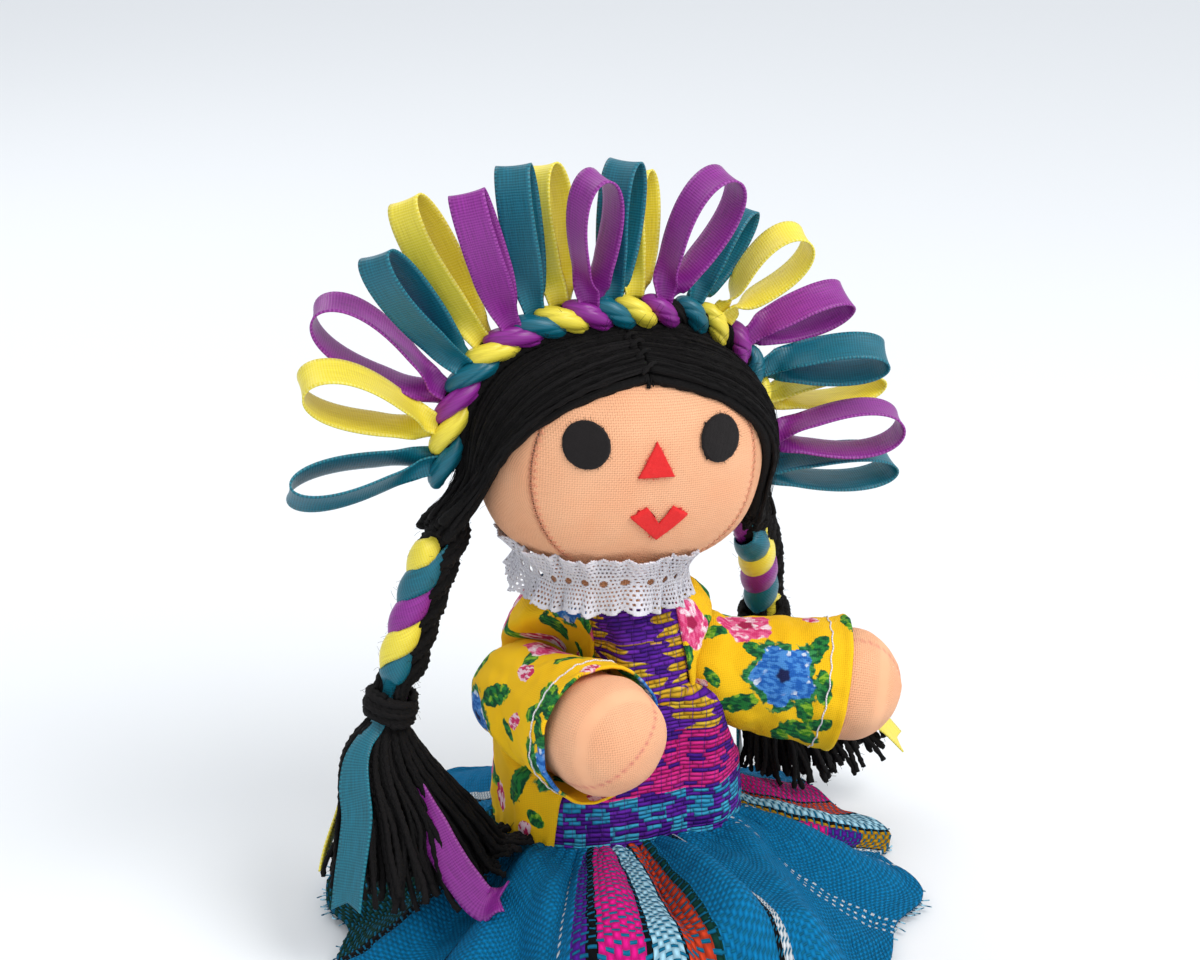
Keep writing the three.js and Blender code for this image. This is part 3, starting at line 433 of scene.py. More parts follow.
class Finish:
    """A material whose nodes are written as short expressions, over flat places u and v in mm."""

    def __init__(self, name, roughness, specular=0.5, **sockets):
        self.material = bpy.data.materials.new(name)
        self.material.use_nodes = True
        self.tree = self.material.node_tree
        self.shader = self.tree.nodes["Principled BSDF"]
        self.shader.inputs["Roughness"].default_value = roughness
        self.shader.inputs["Specular IOR Level"].default_value = specular
        for socket, value in sockets.items():
            self.shader.inputs[socket.replace("_", " ").title()].default_value = value
        places = self.node("TexCoord", {})
        self.flat = places.outputs["UV"]
        self.solid = self.scaled(places.outputs["Object"], (1 / MM, 1 / MM, 1 / MM))
        split = self.node("SeparateXYZ", {0: self.flat})
        self.u, self.v = Value(self, split.outputs[0]), Value(self, split.outputs[1])

    def feed(self, socket, value):
        """Links a socket to a node's output, or sets it to a number, a vector or a colour."""
        if isinstance(value, str):
            value = colour(value)
        if isinstance(value, Value):
            value = value.socket
        if isinstance(value, bpy.types.NodeSocket):
            self.tree.links.new(value, socket)
        else:
            socket.default_value = value

    def node(self, kind, inputs, **settings):
        """A new node, with its inputs given by name or number."""
        node = self.tree.nodes.new("ShaderNode" + kind)
        for name, value in settings.items():
            setattr(node, name, value)
        for key, value in inputs.items():
            self.feed(node.inputs[key], value)
        return node

    def math(self, operation, *values):
        return Value(self, self.node("Math", dict(enumerate(values)), operation=operation).outputs[0])

    def wave(self, x, length):
        """A sine wave along x, from -1 to 1."""
        return (x * (2 * math.pi / length)).sine()

    def between(self, x, low, high):
        """0 up to low, 1 from high, and smooth between them."""
        inputs = {"Value": x, "From Min": low, "From Max": high}
        return Value(self, self.node("MapRange", inputs, interpolation_type="SMOOTHSTEP").outputs[0])

    def band(self, x, low, high, edge):
        """1 between low and high, with soft edges inside them."""
        return self.between(x, low, low + edge) * self.between(x, high, high - edge)

    def scaled(self, vector, factors):
        return self.node("VectorMath", {0: vector, 1: factors}, operation="MULTIPLY").outputs[0]

    def join(self, x, y):
        return self.node("CombineXYZ", {0: x, 1: y}).outputs[0]

    def noise(self, vector, length, detail=2.0):
        inputs = {"Vector": vector, "Scale": 1 / length, "Detail": detail}
        return Value(self, self.node("TexNoise", inputs).outputs["Fac"])

    def attribute(self, name):
        return Value(self, self.node("Attribute", {}, attribute_name=name).outputs["Fac"])

    def blend(self, amount, a, b):
        """From colour a to colour b."""
        return self.node("Mix", {0: amount, MIX_A: a, MIX_B: b}, data_type="RGBA").outputs[MIX_RESULT]

    def shade(self, base, amount):
        """A colour made darker where amount falls below 1."""
        return self.node("VectorMath", {0: base, "Scale": amount}, operation="SCALE").outputs[0]

    def steps(self, x, stops):
        """Colours in steps over x from 0 to 1: stops of (place, colour)."""
        node = self.node("ValToRGB", {0: x})
        node.color_ramp.interpolation = "CONSTANT"
        elements = node.color_ramp.elements
        while len(elements) < len(stops):
            elements.new(0.5)
        for element, (position, shade) in zip(elements, stops):
            element.position = position
            element.color = colour(shade)
        return node.outputs[0]

    def weave(self, pitch, sunk=0.55):
        """Height, from 0 to 1, of a plain weave of threads a pitch apart."""
        over = ((self.u / pitch).floor() + (self.v / pitch).floor()).to_and_fro(1.0)
        warp = abs(self.wave(self.u, 2 * pitch)) * mix(sunk, 1, over)
        weft = abs(self.wave(self.v, 2 * pitch)) * mix(1, sunk, over)
        return warp.at_least(weft)

    def finish(self, base, height, depth):
        """Sets the colour and, with its depth in mm, the surface's relief."""
        self.feed(self.shader.inputs["Base Color"], base)
        relief = self.node("Bump", {"Distance": depth * MM, "Height": height})
        self.tree.links.new(relief.outputs[0], self.shader.inputs["Normal"])
        return self.material


SKIN_THREAD = 0.42
PRINT_THREAD = 0.36
SATIN_RIB = 0.5
PICOT = {"width": 0.5, "pitch": 0.75}
LACE_NET = 0.32
SEWING_TWIST = 0.5


def skin_cloth():
    f = Finish("skin_cloth", 0.88, sheen_weight=0.04, sheen_roughness=0.5, specular=0.25)
    clear = f.between(f.attribute("tone"), 0, 0.5)
    weave = mix(0.6, f.weave(SKIN_THREAD), clear)
    slubs = mix(0.5, f.noise(f.join(f.u * 0.35, f.v * 2.4), 1.0), clear)
    base = f.blend(f.noise(f.solid, 9), "fab084", "ffc69c")
    base = f.blend(f.attribute("mark") * 0.8, base, "e0706c")
    # The weave's hollows are darkened as painted shade; the slubs darken at random.
    base = f.shade(base, mix(0.8, 1, weave) * mix(0.93, 1, slubs))
    return f.finish(base, weave, 0.13)


def stuffing_fibre():
    f = Finish("stuffing", 1.0, sheen_weight=0.3)
    noise = f.noise(f.scaled(f.solid, (1, 1, 3)), 0.8, 4)
    return f.finish(f.blend(noise, "dcd8ce", "ffffff"), noise, 0.4)


def felt(name, dark, light):
    f = Finish(name, 0.95, sheen_weight=0.05, sheen_roughness=0.6, specular=0.2)
    fibres = f.noise(f.scaled(f.solid, (1.0, 1.0, 2.4)), 0.28, 5)
    patches = f.noise(f.solid, 2.2)
    return f.finish(f.blend(fibres * 0.7 + patches * 0.3, dark, light), fibres, 0.12)


def black_yarn():
    f = Finish("black_yarn", 0.9, specular=0.25)
    fibres = f.noise(f.join(f.u * 3, f.v * 1.4), 0.6, 4)
    # Raised fibres are painted lighter as a painted sheen; the tone differs at random from yarn to yarn.
    amount = f.between(fibres, 0.35, 0.75) * 0.6 + f.attribute("tone") * 0.4
    return f.finish(f.blend(amount, "020202", "181516"), fibres, 0.2)


def thread(name, dark, light):
    f = Finish(name, 0.7, sheen_weight=0.1)
    twist = f.wave(f.u + f.v, SEWING_TWIST)
    # The twist's crests are painted lighter and its hollows darker: painted highlight and shade.
    return f.finish(f.blend(f.between(twist, -1, 1), dark, light), twist, 0.05)


def satin(name, dark, base, light):
    """Fine ribs and lengthwise lines, with a picot along both edges; a bead shows only the lines. Its colour
    carries painted light: dark is painted shade in the lines' grooves and along the picot band, light a
    painted highlight on the rib crests and the picot loops.
    """
    f = Finish("satin_" + name, 0.36, anisotropic=0.5, specular=0.42)
    spread = 1 - f.attribute("mark")
    ribs = f.wave(f.v + f.noise(f.solid, 6) * 0.5, SATIN_RIB) * spread
    lines = f.noise(f.join(f.u * 9, f.v * 0.25), 1.4, 3)
    border = RIBBON_WIDTH / 2 - PICOT["width"]
    edge = f.between(abs(f.u), border, border + 0.2) * spread
    picot = edge * f.between(f.wave(f.v, PICOT["pitch"]), -0.2, 0.5)
    # Painted shade and highlight: darker in the lines' grooves and the picot band, lighter on the rib crests
    # and the picot loops.
    shade = f.blend(f.between(lines, 0.3, 0.7), dark, base)
    for amount, tint in ((f.between(ribs, -1, 1) * 0.22, light), (edge * 0.3, dark), (picot * 0.5, light)):
        shade = f.blend(amount, shade, tint)
    return f.finish(shade, ribs * 0.2 + lines * 0.7 + picot * 0.6, 0.06)


def lace_thread():
    f = Finish("white_lace", 0.75, sheen_weight=0.2)
    net = f.wave(f.u + f.v, LACE_NET) * f.wave(f.u - f.v, LACE_NET)
    # The net's hollows are painted darker and its crests whiter: painted shade and highlight.
    return f.finish(f.blend(f.between(net, -1, 1), "e2dfee", "fdfcff"), net, 0.06)


# The print's motifs in one tile: middle, radius or length in mm, and turn in radians
PRINT_TILE = (34.56, 30.0)
PANSY = ((25.0, 21.0), 5.8, 0.4)
BLOSSOM = ((14.0, 13.5), 5.0, 1.1)
PRINT_BUDS = [((4.5, 8.6), 2.9, 1.2), ((30.0, 5.5), 2.3, 2.2), ((10.5, 26.0), 2.4, 0.3)]
PRINT_LEAVES = [
    ((1.6, 26.4), 4.6, 1.1), ((4.4, 23.2), 3.6, 0.2), ((33.4, 29.0), 3.2, 2.0), ((8.0, 11.6), 3.2, 0.6),
    ((32.4, 13.5), 4.6, 2.0), ((11.5, 3.6), 3.8, 0.1), ((19.8, 26.5), 3.6, 2.6), ((20.5, 15.2), 3.0, 1.0),
    ((30.6, 26.0), 3.2, 0.3), ((27.5, 8.0), 2.4, 0.8), ((17.6, 7.2), 3.0, 2.0), ((26.0, 28.6), 3.4, 0.2),
]
PETALS = 5


def printed(f, centre):
    """Offsets from a motif's middle, which repeats with the print's tile."""
    offsets = [place - middle for place, middle in zip((f.u, f.v), centre)]
    return [offset - (offset / tile + 0.5).floor() * tile for offset, tile in zip(offsets, PRINT_TILE)]


def printed_flower(f, centre, radius, turn, ragged):
    """1 in a flower's middle, 0 at its petals' ragged edge."""
    x, y = printed(f, centre)
    lobes = f.math("COSINE", f.math("ARCTAN2", y, x) * PETALS + turn) * 0.12
    edge = (lobes + 0.8 + ragged * 0.4) * radius
    return 1 - f.math("SQRT", x * x + y * y) / edge


def printed_leaf(f, centre, length, turn, ragged, slim=0.5):
    """Above 0 inside a leaf or bud, which has a ragged edge."""
    x, y = printed(f, centre)
    c, s = math.cos(turn) / length, math.sin(turn) / length
    along = x * c + y * s
    over = (y * c - x * s) / slim
    return 1 - f.math("SQRT", along * along + over * over) + (ragged - 0.5) * 0.9


def floral_cotton():
    """Pink and blue flowers, buds and green leaves brushed on yellow cotton."""
    f = Finish("floral_cotton", 0.85, specular=0.2)
    ragged = f.noise(f.flat, 1.5, 3)
    strokes = f.noise(f.scaled(f.flat, (1.0, 0.45, 1.0)), 0.8, 3)
    patches = f.noise(f.flat, 2.6)
    bright = f.between(strokes, 0.42, 0.58)
    base = f.blend(f.noise(f.flat, 14), "f6ba0a", "fdd020")
    green = f.blend(f.between(patches, 0.52, 0.6), f.blend(bright, "0f4a30", "27803a"),
                    f.blend(bright, "3f8a22", "8fbf35"))
    for centre, length, turn in PRINT_LEAVES:
        leaf = printed_leaf(f, centre, length, turn, ragged)
        base = f.blend(f.between(leaf, 0.02, 0.1), base, green)

    lobe = printed_flower(f, *PANSY, ragged)
    halo = f.between(lobe, -0.24, -0.16) * f.between(patches, 0.4, 0.46)
    base = f.blend(halo, base, f.blend(bright, "165a38", "3b9150"))
    petals = f.blend(bright, "1f5fb4", "4b8fd8")
    petals = f.blend(f.between(patches, 0.55, 0.6) * f.between(lobe, 0.5, 0.1), petals, "d6e2f2")
    petals = f.blend(f.between(lobe, 0.74, 0.84), petals, "1a2350")
    base = f.blend(f.between(lobe, 0.0, 0.06), base, petals)

    lobe = printed_flower(f, *BLOSSOM, ragged)
    petals = f.blend(bright, "d83a74", "ec6c9c")
    petals = f.blend(f.between(patches, 0.5, 0.58), petals, f.blend(bright, "f2b3ca", "faeaf0"))
    petals = f.blend(f.between(lobe, 0.66, 0.78), petals, "a8204f")
    base = f.blend(f.between(lobe, 0.0, 0.06), base, petals)

    pink = f.blend(f.between(strokes, 0.46, 0.54), "d03066", "f6d2de")
    for centre, radius, turn in PRINT_BUDS:
        bud = printed_leaf(f, centre, radius, turn, ragged, 0.62)
        base = f.blend(f.between(bud, 0.02, 0.1), base, pink)
    weave = f.weave(PRINT_THREAD)
    # The weave's hollows are darkened as painted shade.
    return f.finish(f.shade(base, mix(0.8, 1, weave)), weave, 0.07)


# Brocade: sizes in mm, heights above the seat, and columns as (place at the height, slant, height)
FLOAT_ROW = 0.8
FLOAT_LENGTH = 1.9
WARP_PITCH = 1.55
BLOCK = (3.6, 3.2)
MAGENTA_FROM, MAGENTA_TO = 27.5, 39.5
LUREX_HEIGHT = 57.5
COLUMNS = [(-2.9, 0.79, 56.0), (6.4, 0.18, 57.0), (-7.6, 0.0, 56.0)]


def scattered(value, factor):
    """Random looking numbers from 0 to 1."""
    return (value.sine() * factor).fraction()


def brocade():
    """Thick weft floats: yellow columns above, magenta, and purple and blue blocks below."""
    f = Finish("brocade", 0.82, specular=0.2)
    u, v = f.u, f.v + f.noise(f.flat, 5)
    v = v + f.noise(f.flat, 1.3) * 0.3
    row = (v / FLOAT_ROW).floor()
    slide = scattered(row * 12.9898, 437.5)
    across = u / FLOAT_LENGTH + slide
    random = scattered(across.floor() * 78.233 + row * 37.719, 963.17)
    along = abs((across * math.pi).sine())
    over = abs((v * (math.pi / FLOAT_ROW)).sine())
    height = over ** 0.6 * along ** 0.35
    fibres = f.noise(f.join(u * 0.9, v * 5), 1.0, 3)
    warp = f.between(abs((u * (math.pi / WARP_PITCH)).sine()), 0.16, 0.06)
    ground = f.blend(random, "430f8c", "7a2cc4")

    zigzag = u + f.wave(v, 4 * FLOAT_ROW) * 0.9
    gaps = [abs(zigzag - ((top - v) * slant + place)) for place, slant, top in COLUMNS]
    near = gaps[0].at_most(gaps[1]).at_most(gaps[2])
    gold = f.between(near, 2.1, 1.8) * f.between(row.to_and_fro(1.5), 0.3, 0.45)
    upper = f.blend(gold, ground, f.blend(random, "dda314", "f8cf3e"))
    lurex = f.between(abs(v - LUREX_HEIGHT), 0.45, 0.3) * f.between(random, 0.35, 0.4)
    upper = f.blend(lurex, upper, "e0a850")
    magenta = f.blend(f.between(random, 0.26, 0.3), ground, f.blend(slide, "d3127c", "f5309a"))
    checked = ((u / BLOCK[0]).floor() + (v / BLOCK[1]).floor()).to_and_fro(1.0)
    blue = (checked * f.between(random, 0.2, 0.24)).at_least(f.between(random, 0.9, 0.92))
    lower = f.blend(blue, ground, f.blend(slide, "1c93cc", "4cc6ea"))

    base = f.blend(f.between(v, MAGENTA_FROM, MAGENTA_FROM + 0.1), lower, magenta)
    base = f.blend(f.between(v, MAGENTA_TO, MAGENTA_TO + 0.1), base, upper)
    base = f.blend(warp * 0.6, base, "6a22b0")
    # Painted shade where the floats dip between rows and at their ends; the fibres darken at random.
    base = f.shade(base, mix(0.36, 1, height) * mix(0.72, 1, fibres))
    return f.finish(base, height - warp * 0.25, 0.4)


SKIRT_FLAT = (345.0, 42.0)
TURQUOISE, DEEP_GREEN, INK, VIOLET, MAGENTA = "0785c2", "083c34", "08090c", "551a98", "e8188c"
PALE_BLUE, ORANGE, WHITE, GOLD = "a9dcf2", "dc4628", "eaf2f8", "bd8e14"

# Stripes from the waist to the hem: where each starts, as a share of the way round, and its colour.
# The front half runs from the doll's right side over the front to its left side.
FRONT_STRIPES = [
    (0.500, DEEP_GREEN), (0.535, INK), (0.541, TURQUOISE), (0.584, INK), (0.588, TURQUOISE),
    (0.679, VIOLET), (0.687, INK), (0.692, MAGENTA), (0.716, INK), (0.7195, PALE_BLUE), (0.7375, INK),
    (0.740, ORANGE), (0.755, DEEP_GREEN), (0.759, TURQUOISE), (0.787, INK), (0.791, WHITE),
    (0.7965, TURQUOISE), (0.966, WHITE), (0.9705, INK), (0.973, GOLD), (0.991, INK), (0.993, PALE_BLUE),
]
BACK_STRIPES = [
    (0.000, PALE_BLUE), (0.012, INK), (0.015, ORANGE), (0.032, INK), (0.035, MAGENTA), (0.060, INK),
    (0.063, TURQUOISE), (0.118, WHITE), (0.123, TURQUOISE), (0.200, VIOLET), (0.214, INK), (0.219, MAGENTA),
    (0.243, PALE_BLUE), (0.262, INK), (0.265, TURQUOISE), (0.330, WHITE), (0.336, INK), (0.340, GOLD),
    (0.360, INK), (0.364, TURQUOISE), (0.452, INK), (0.458, DEEP_GREEN),
]
DOTTED_LINES = [0.672, 0.884, 0.890, 0.896, 0.949]
COARSE_BANDS = [(0.676, 0.759), (0.968, 1.1), (-0.1, 0.063), (0.198, 0.268), (0.338, 0.366), (0.45, 0.54)]

# One gold stripe is woven in blocks: where each starts, from the waist down, and its colour
BLOCK_STRIPE = (0.973, 0.991)
BLOCK_COLOURS = [(0.0, GOLD), (0.42, INK), (0.45, MAGENTA), (0.62, VIOLET), (0.82, GOLD)]

# The skirt's two weaves: thickness of a warp and length of one bulge, in mm
COARSE_WEAVE = (1.35, 1.8)
FINE_WEAVE = (0.82, 1.05)
WEFT_SHARE = 0.26


def bulging_weave(f, thick, step):
    """Heights of thick warps that bulge between short wefts, and where a weft shows."""
    half_step = (f.u / thick).floor().to_and_fro(1.0) * 0.5
    along = (f.v / step + half_step).fraction()
    bulge = abs((f.u * (math.pi / thick)).sine())
    warp = ((along - WEFT_SHARE).at_least(0.0) * (math.pi / (1 - WEFT_SHARE))).sine() * bulge
    weft = (along * (math.pi / WEFT_SHARE)).sine().at_least(0.0) * 0.62
    shows = f.between(along, WEFT_SHARE + 0.01, WEFT_SHARE - 0.01)
    return mix(warp, weft, shows), shows


def skirt_stripes(f, share):
    """The stripes' colours at a share of the way round, with edges that wander a little."""
    wander = share + (f.noise(f.flat, 4) - 0.5) * 0.0012
    front = f.steps(wander * 2 - 1, [(2 * start - 1, shade) for start, shade in FRONT_STRIPES])
    back = f.steps(wander * 2, [(2 * start, shade) for start, shade in BACK_STRIPES])
    stripes = f.blend(f.between(share, 0.4999, 0.5001), back, front)
    down = 1 - f.v / SKIRT_FLAT[1]
    stripes = f.blend(f.band(wander, *BLOCK_STRIPE, 0.0003), stripes, f.steps(down, BLOCK_COLOURS))
    coarse = 0.0
    for low, high in COARSE_BANDS:
        coarse = f.band(wander, low, high, 0.0005).at_least(coarse)
    return stripes, coarse


def skirt_cloth():
    f = Finish("skirt_cloth", 0.9, specular=0.12)
    share = f.u / SKIRT_FLAT[0]
    stripes, coarse = skirt_stripes(f, share)
    thick_height, thick_weft = bulging_weave(f, *COARSE_WEAVE)
    fine_height, fine_weft = bulging_weave(f, *FINE_WEAVE)
    height = mix(fine_height * 0.6, thick_height, coarse)
    weft = mix(fine_weft, thick_weft, coarse)
    dots = 0.0
    for line in DOTTED_LINES:
        dots = f.between(abs(share - line), 0.0012, 0.0007).at_least(dots)
    dots = dots * f.between(f.wave(f.v, 1.7), 0.1, 0.4)
    random = f.noise(f.flat, 1.0, 1)
    fibres = f.noise(f.join(f.u * 3, f.v), 0.8, 3)
    stripes = f.shade(stripes, mix(random, fibres, 0.5) * 0.9 + 0.5)
    stripes = f.blend(weft, stripes, f.blend(random, "06597d", "0f86b2"))
    stripes = f.blend(dots, stripes, "eaf4fa")
    # The weave's hollows are darkened as painted shade.
    stripes = f.shade(stripes, mix(0.55, 1, height.at_most(1.0)))
    return f.finish(stripes, height, 0.4)


def floor_finish():
    f = Finish("floor", 0.9)
    f.feed(f.shader.inputs["Base Color"], "e9ecef")
    return f.material


SKIN_CLOTH = skin_cloth()
STUFFING = stuffing_fibre()
BLACK_FELT = felt("black_felt", "0e0c0c", "252122")
RED_FELT = felt("red_felt", "c9141c", "ee3a38")
BLACK_YARN = black_yarn()
LACE = lace_thread()
FLORAL = floral_cotton()
BROCADE = brocade()
SKIRT_CLOTH = skirt_cloth()
# Each satin's painted shade, its own colour and its painted highlight.
SATIN = {
    "teal": satin("teal", "044c5a", "06637a", "2093a8"),
    "yellow": satin("yellow", "dcc626", "f0de3a", "fbf392"),
    "purple": satin("purple", "6d0f70", "8c1f90", "bb57bd"),
}
# Each thread: the painted shade and the painted highlight of its twist.
WHITE_THREAD = thread("white_thread", "d9d4da", "fbf8fb")
ORANGE_THREAD = thread("orange_thread", "ec9068", "fab894")


# Head
def head_surface(directions):
    """Points on the head's rounded form, along directions from its centre."""
    powers = np.abs(directions / HEAD_HALF) ** HEAD_ROUNDNESS
    return directions / (powers.sum(axis=-1) ** (1 / HEAD_ROUNDNESS))[..., None]


def head_normal(points):
    """Directions square to the head's rounded form."""
    ratio = np.abs(points / HEAD_HALF) ** (HEAD_ROUNDNESS - 1) / HEAD_HALF
    return unit(np.sign(points) * ratio)


def head_direction(around, away):
    """Directions at an angle away from straight ahead, and around that from the doll's left upwards."""
    return np.stack([np.sin(away) * np.cos(around), -np.cos(away), np.sin(away) * np.sin(around)], axis=-1)


def panel_rim(around):
    """How far from straight ahead the face panel's seam lies, at angles around it."""
    low, high = np.zeros_like(around), np.full_like(around, math.radians(88))
    for _ in range(40):
        middle = (low + high) / 2
        point = head_surface(head_direction(around, middle))
        inside = np.hypot(point[..., 0], point[..., 2] - FACE_PANEL_RISE) < FACE_PANEL_RADIUS
        low, high = np.where(inside, middle, low), np.where(inside, high, middle)
    return low


# Length of one pucker of the cloth along the face's seam
PUCKER = 1.5


def seam_dip(distance, along):
    """How far cloth sinks beside a seam, with a pucker at each stitch."""
    return 0.12 * np.exp(-(distance / 0.4) ** 2) + 0.06 * np.exp(-distance / 2.0) * (
        1 + np.cos(2 * math.pi * along / PUCKER))


# How many mm of the head's cloth are reckoned for one radian from straight ahead, and from behind
HEAD_RADIUS = 21
BACK_RADIUS = 22


def head_panels():
    """The round face panel and the panel behind it, each dented a little and drawn in at the seam."""
    spread = disc(97)
    radius = np.clip(np.hypot(spread[..., 0], spread[..., 1]), 1e-6, 1)
    around = np.arctan2(spread[..., 1], spread[..., 0])
    rim = panel_rim(around)
    front = radius * rim
    back = radius * (math.pi - rim - GAP / HEAD_RADIUS)
    circle = np.stack([np.cos(around), np.sin(around)], axis=-1)
    for name, node, away, reach, dent, seed, order in (
            ("face_panel_cloth", "face_panel", front, rim, 14, 3, -1),
            ("head_back_cloth", "head_back_panel", math.pi - back, math.pi - rim, 16, 5, 1)):
        base = head_surface(head_direction(around, away))
        edge = (1 - radius) * reach * HEAD_RADIUS
        dents = 0.25 * waves(base, dent, seed) * (1 - np.exp(-edge / 4))
        sag = seam_dip(edge, around * FACE_PANEL_RADIUS) - dents
        points = head_to_world(base - head_normal(base) * sag[..., None])
        flat = base[..., [0, 2]] if node == "face_panel" else circle * back[..., None] * BACK_RADIUS
        cloth = sheet_piece(name, SKIN_CLOTH, ("head", "skin_cloth", node), points[:, ::order], SKIN,
                            flat[:, ::order])


SEAM_STITCHES = 96
SEAM_THREAD = 0.075


def head_seam():
    """The thread that runs in small slanting stitches round the face's seam."""
    shape = Shape()
    around = np.linspace(0, 2 * math.pi, SEAM_STITCHES, endpoint=False)
    step = 2 * math.pi / SEAM_STITCHES
    t = np.linspace(0, 1, 7)
    arch = np.sin(t * math.pi)
    stitches = []
    for angle, away in zip(around, panel_rim(around)):
        line = head_surface(head_direction(angle + t * step * 0.9, away - 0.045 + 0.06 * arch))
        stitches.append(line + head_normal(line) * (0.12 * arch - 0.04)[:, None])
        tick = head_surface(head_direction(np.full(7, angle), away + mix(-0.05, 0.02, t)))
        stitches.append(tick + head_normal(tick) * (0.16 * arch - 0.16)[:, None])
    shape.tubes(head_to_world(np.array(stitches)), SEAM_THREAD, 5)
    place(shape.build("face_seam_thread", ORANGE_THREAD), "head", "skin_cloth")


def on_face(x, z):
    """Points on the front of the head that are seen at x and z."""
    half_x, half_y, half_z = HEAD_HALF
    left = 1 - np.abs(x / half_x) ** HEAD_ROUNDNESS - np.abs(z / half_z) ** HEAD_ROUNDNESS
    return np.stack([x, -half_y * np.maximum(left, 1e-6) ** (1 / HEAD_ROUNDNESS), z], axis=-1)


def polygon_reach(corners, around):
    """How far an outline lies from its middle, at angles around it."""
    corners = np.asarray(corners, float)
    reach = np.full(around.shape, np.inf)
    direction = np.stack([np.cos(around), np.sin(around)], axis=-1)
    for a, b in zip(corners, np.roll(corners, -1, axis=0)):
        edge = b - a
        denominator = direction[..., 0] * edge[1] - direction[..., 1] * edge[0]
        safe = np.where(np.abs(denominator) < 1e-9, 1e-9, denominator)
        t = (a[0] * edge[1] - a[1] * edge[0]) / safe
        s = (a[0] * direction[..., 1] - a[1] * direction[..., 0]) / safe
        reach = np.where((t > 0) & (s >= -1e-6) & (s <= 1 + 1e-6), np.minimum(reach, t), reach)
    return reach


FELT_DEPTH = 0.5
FELT_FIBRES = 46
FELT_FIBRE = 0.035


def felt_patch(node, slot, material, middle, reach, seed):
    """A flat felt shape glued to the face, with a soft edge and a few loose fibres."""
    spread = disc(45)
    radius = np.hypot(spread[..., 0], spread[..., 1])
    around = np.arctan2(spread[..., 1], spread[..., 0])
    still = np.zeros_like(radius)
    ragged = 1 + 0.012 * waves(np.stack([around * 6, still, still], axis=-1), 1.4, seed)
    x = middle[0] + np.cos(around) * radius * reach(around) * ragged
    z = middle[1] + np.sin(around) * radius * reach(around) * ragged
    rounded = FELT * (1 - 0.55 * ease((radius - 0.9) / 0.1))
    base = on_face(x, z)
    top = base + head_normal(base) * (0.12 + rounded + 0.04 * waves(base, 1.2, seed + 1))[..., None]
    shape = Shape()
    shape.sheet(head_to_world(top)[:, ::-1], FELT_DEPTH, np.stack([x, z], axis=-1)[:, ::-1])
    rng = np.random.default_rng(seed)
    fibres = []
    for angle in rng.uniform(0, 2 * math.pi, FELT_FIBRES):
        start = float(reach(np.array([angle]))[0]) * rng.uniform(0.9, 1.0)
        line = np.linspace(0, rng.uniform(0.25, 0.75), 5)
        bend = angle + rng.normal() * 0.9
        x = middle[0] + math.cos(angle) * start + np.cos(bend) * line
        z = middle[1] + math.sin(angle) * start + np.sin(bend) * line
        foot = on_face(x, z)
        height = 0.25 + rng.uniform(0, 0.3) + line[:, None] * rng.uniform(-0.3, 0.4)
        fibres.append(foot + head_normal(foot) * height)
    shape.tubes(head_to_world(np.array(fibres)), FELT_FIBRE, 3)
    place(shape.build(node + "_felt", material), "head", slot, node)


def face_features():
    for side, sign in (("right", -1), ("left", 1)):
        felt_patch(f"eye_{side}", "black_felt", BLACK_FELT, (sign * EYE_SPREAD, EYE_RISE),
                   lambda around: np.full_like(around, EYE_RADIUS), 11 + sign)
    width, height = NOSE["width"], NOSE["height"]
    nose = [(-width / 2, -height / 3), (width / 2, -height / 3), (0, height * 2 / 3)]
    felt_patch("nose", "red_felt", RED_FELT, (0.0, NOSE["rise"] + height / 3),
               lambda around: polygon_reach(nose, around), 21)
    width, height = MOUTH["width"], MOUTH["height"]
    low, side, top = -0.32 * height, 0.4 * height, 0.68 * height
    mouth = [(0, low), (width / 2, side), (width * 0.22, top), (0, top - MOUTH["notch"]),
             (-width * 0.22, top), (-width / 2, side)]
    felt_patch("mouth", "red_felt", RED_FELT, (MOUTH["shift"], MOUTH["rise"] - low),
               lambda around: polygon_reach(mouth, around), 31)


# Hair
BRAID_ROUTES = {
    "right": [vec(-31.5, 1, 79.5), vec(-36.5, 0.5, 66), vec(-40.5, 0, 54), vec(-42.5, 0, 46)],
    "left": [vec(29, 4.5, 72.3), vec(34, 11, 62), vec(37, 16, 52), vec(38.5, 18, 44)],
}
HAIR_START = math.radians(-33)
HAIR_END = math.radians(148)
HAIR_EDGE = {"right": -0.60, "left": -0.66}
LOOSE_FIBRE = 0.028
# The hair's layers: lanes as (number, steps, height over the head in mm), and a yarn's radius
UNDER_YARN = {"lanes": (46, 40, 0.9), "radius": 1.0}
OVER_YARN = {"lanes": (190, 44, 2.3), "radius": 0.38}
FINE_FIBRES = {"lanes": (640, 22, 2.65), "radius": 0.065}


def parting_direction(angle):
    """Directions in the parting's plane, at angles from straight up towards the back."""
    return np.stack([angle * 0, np.sin(angle), np.cos(angle)], axis=-1)


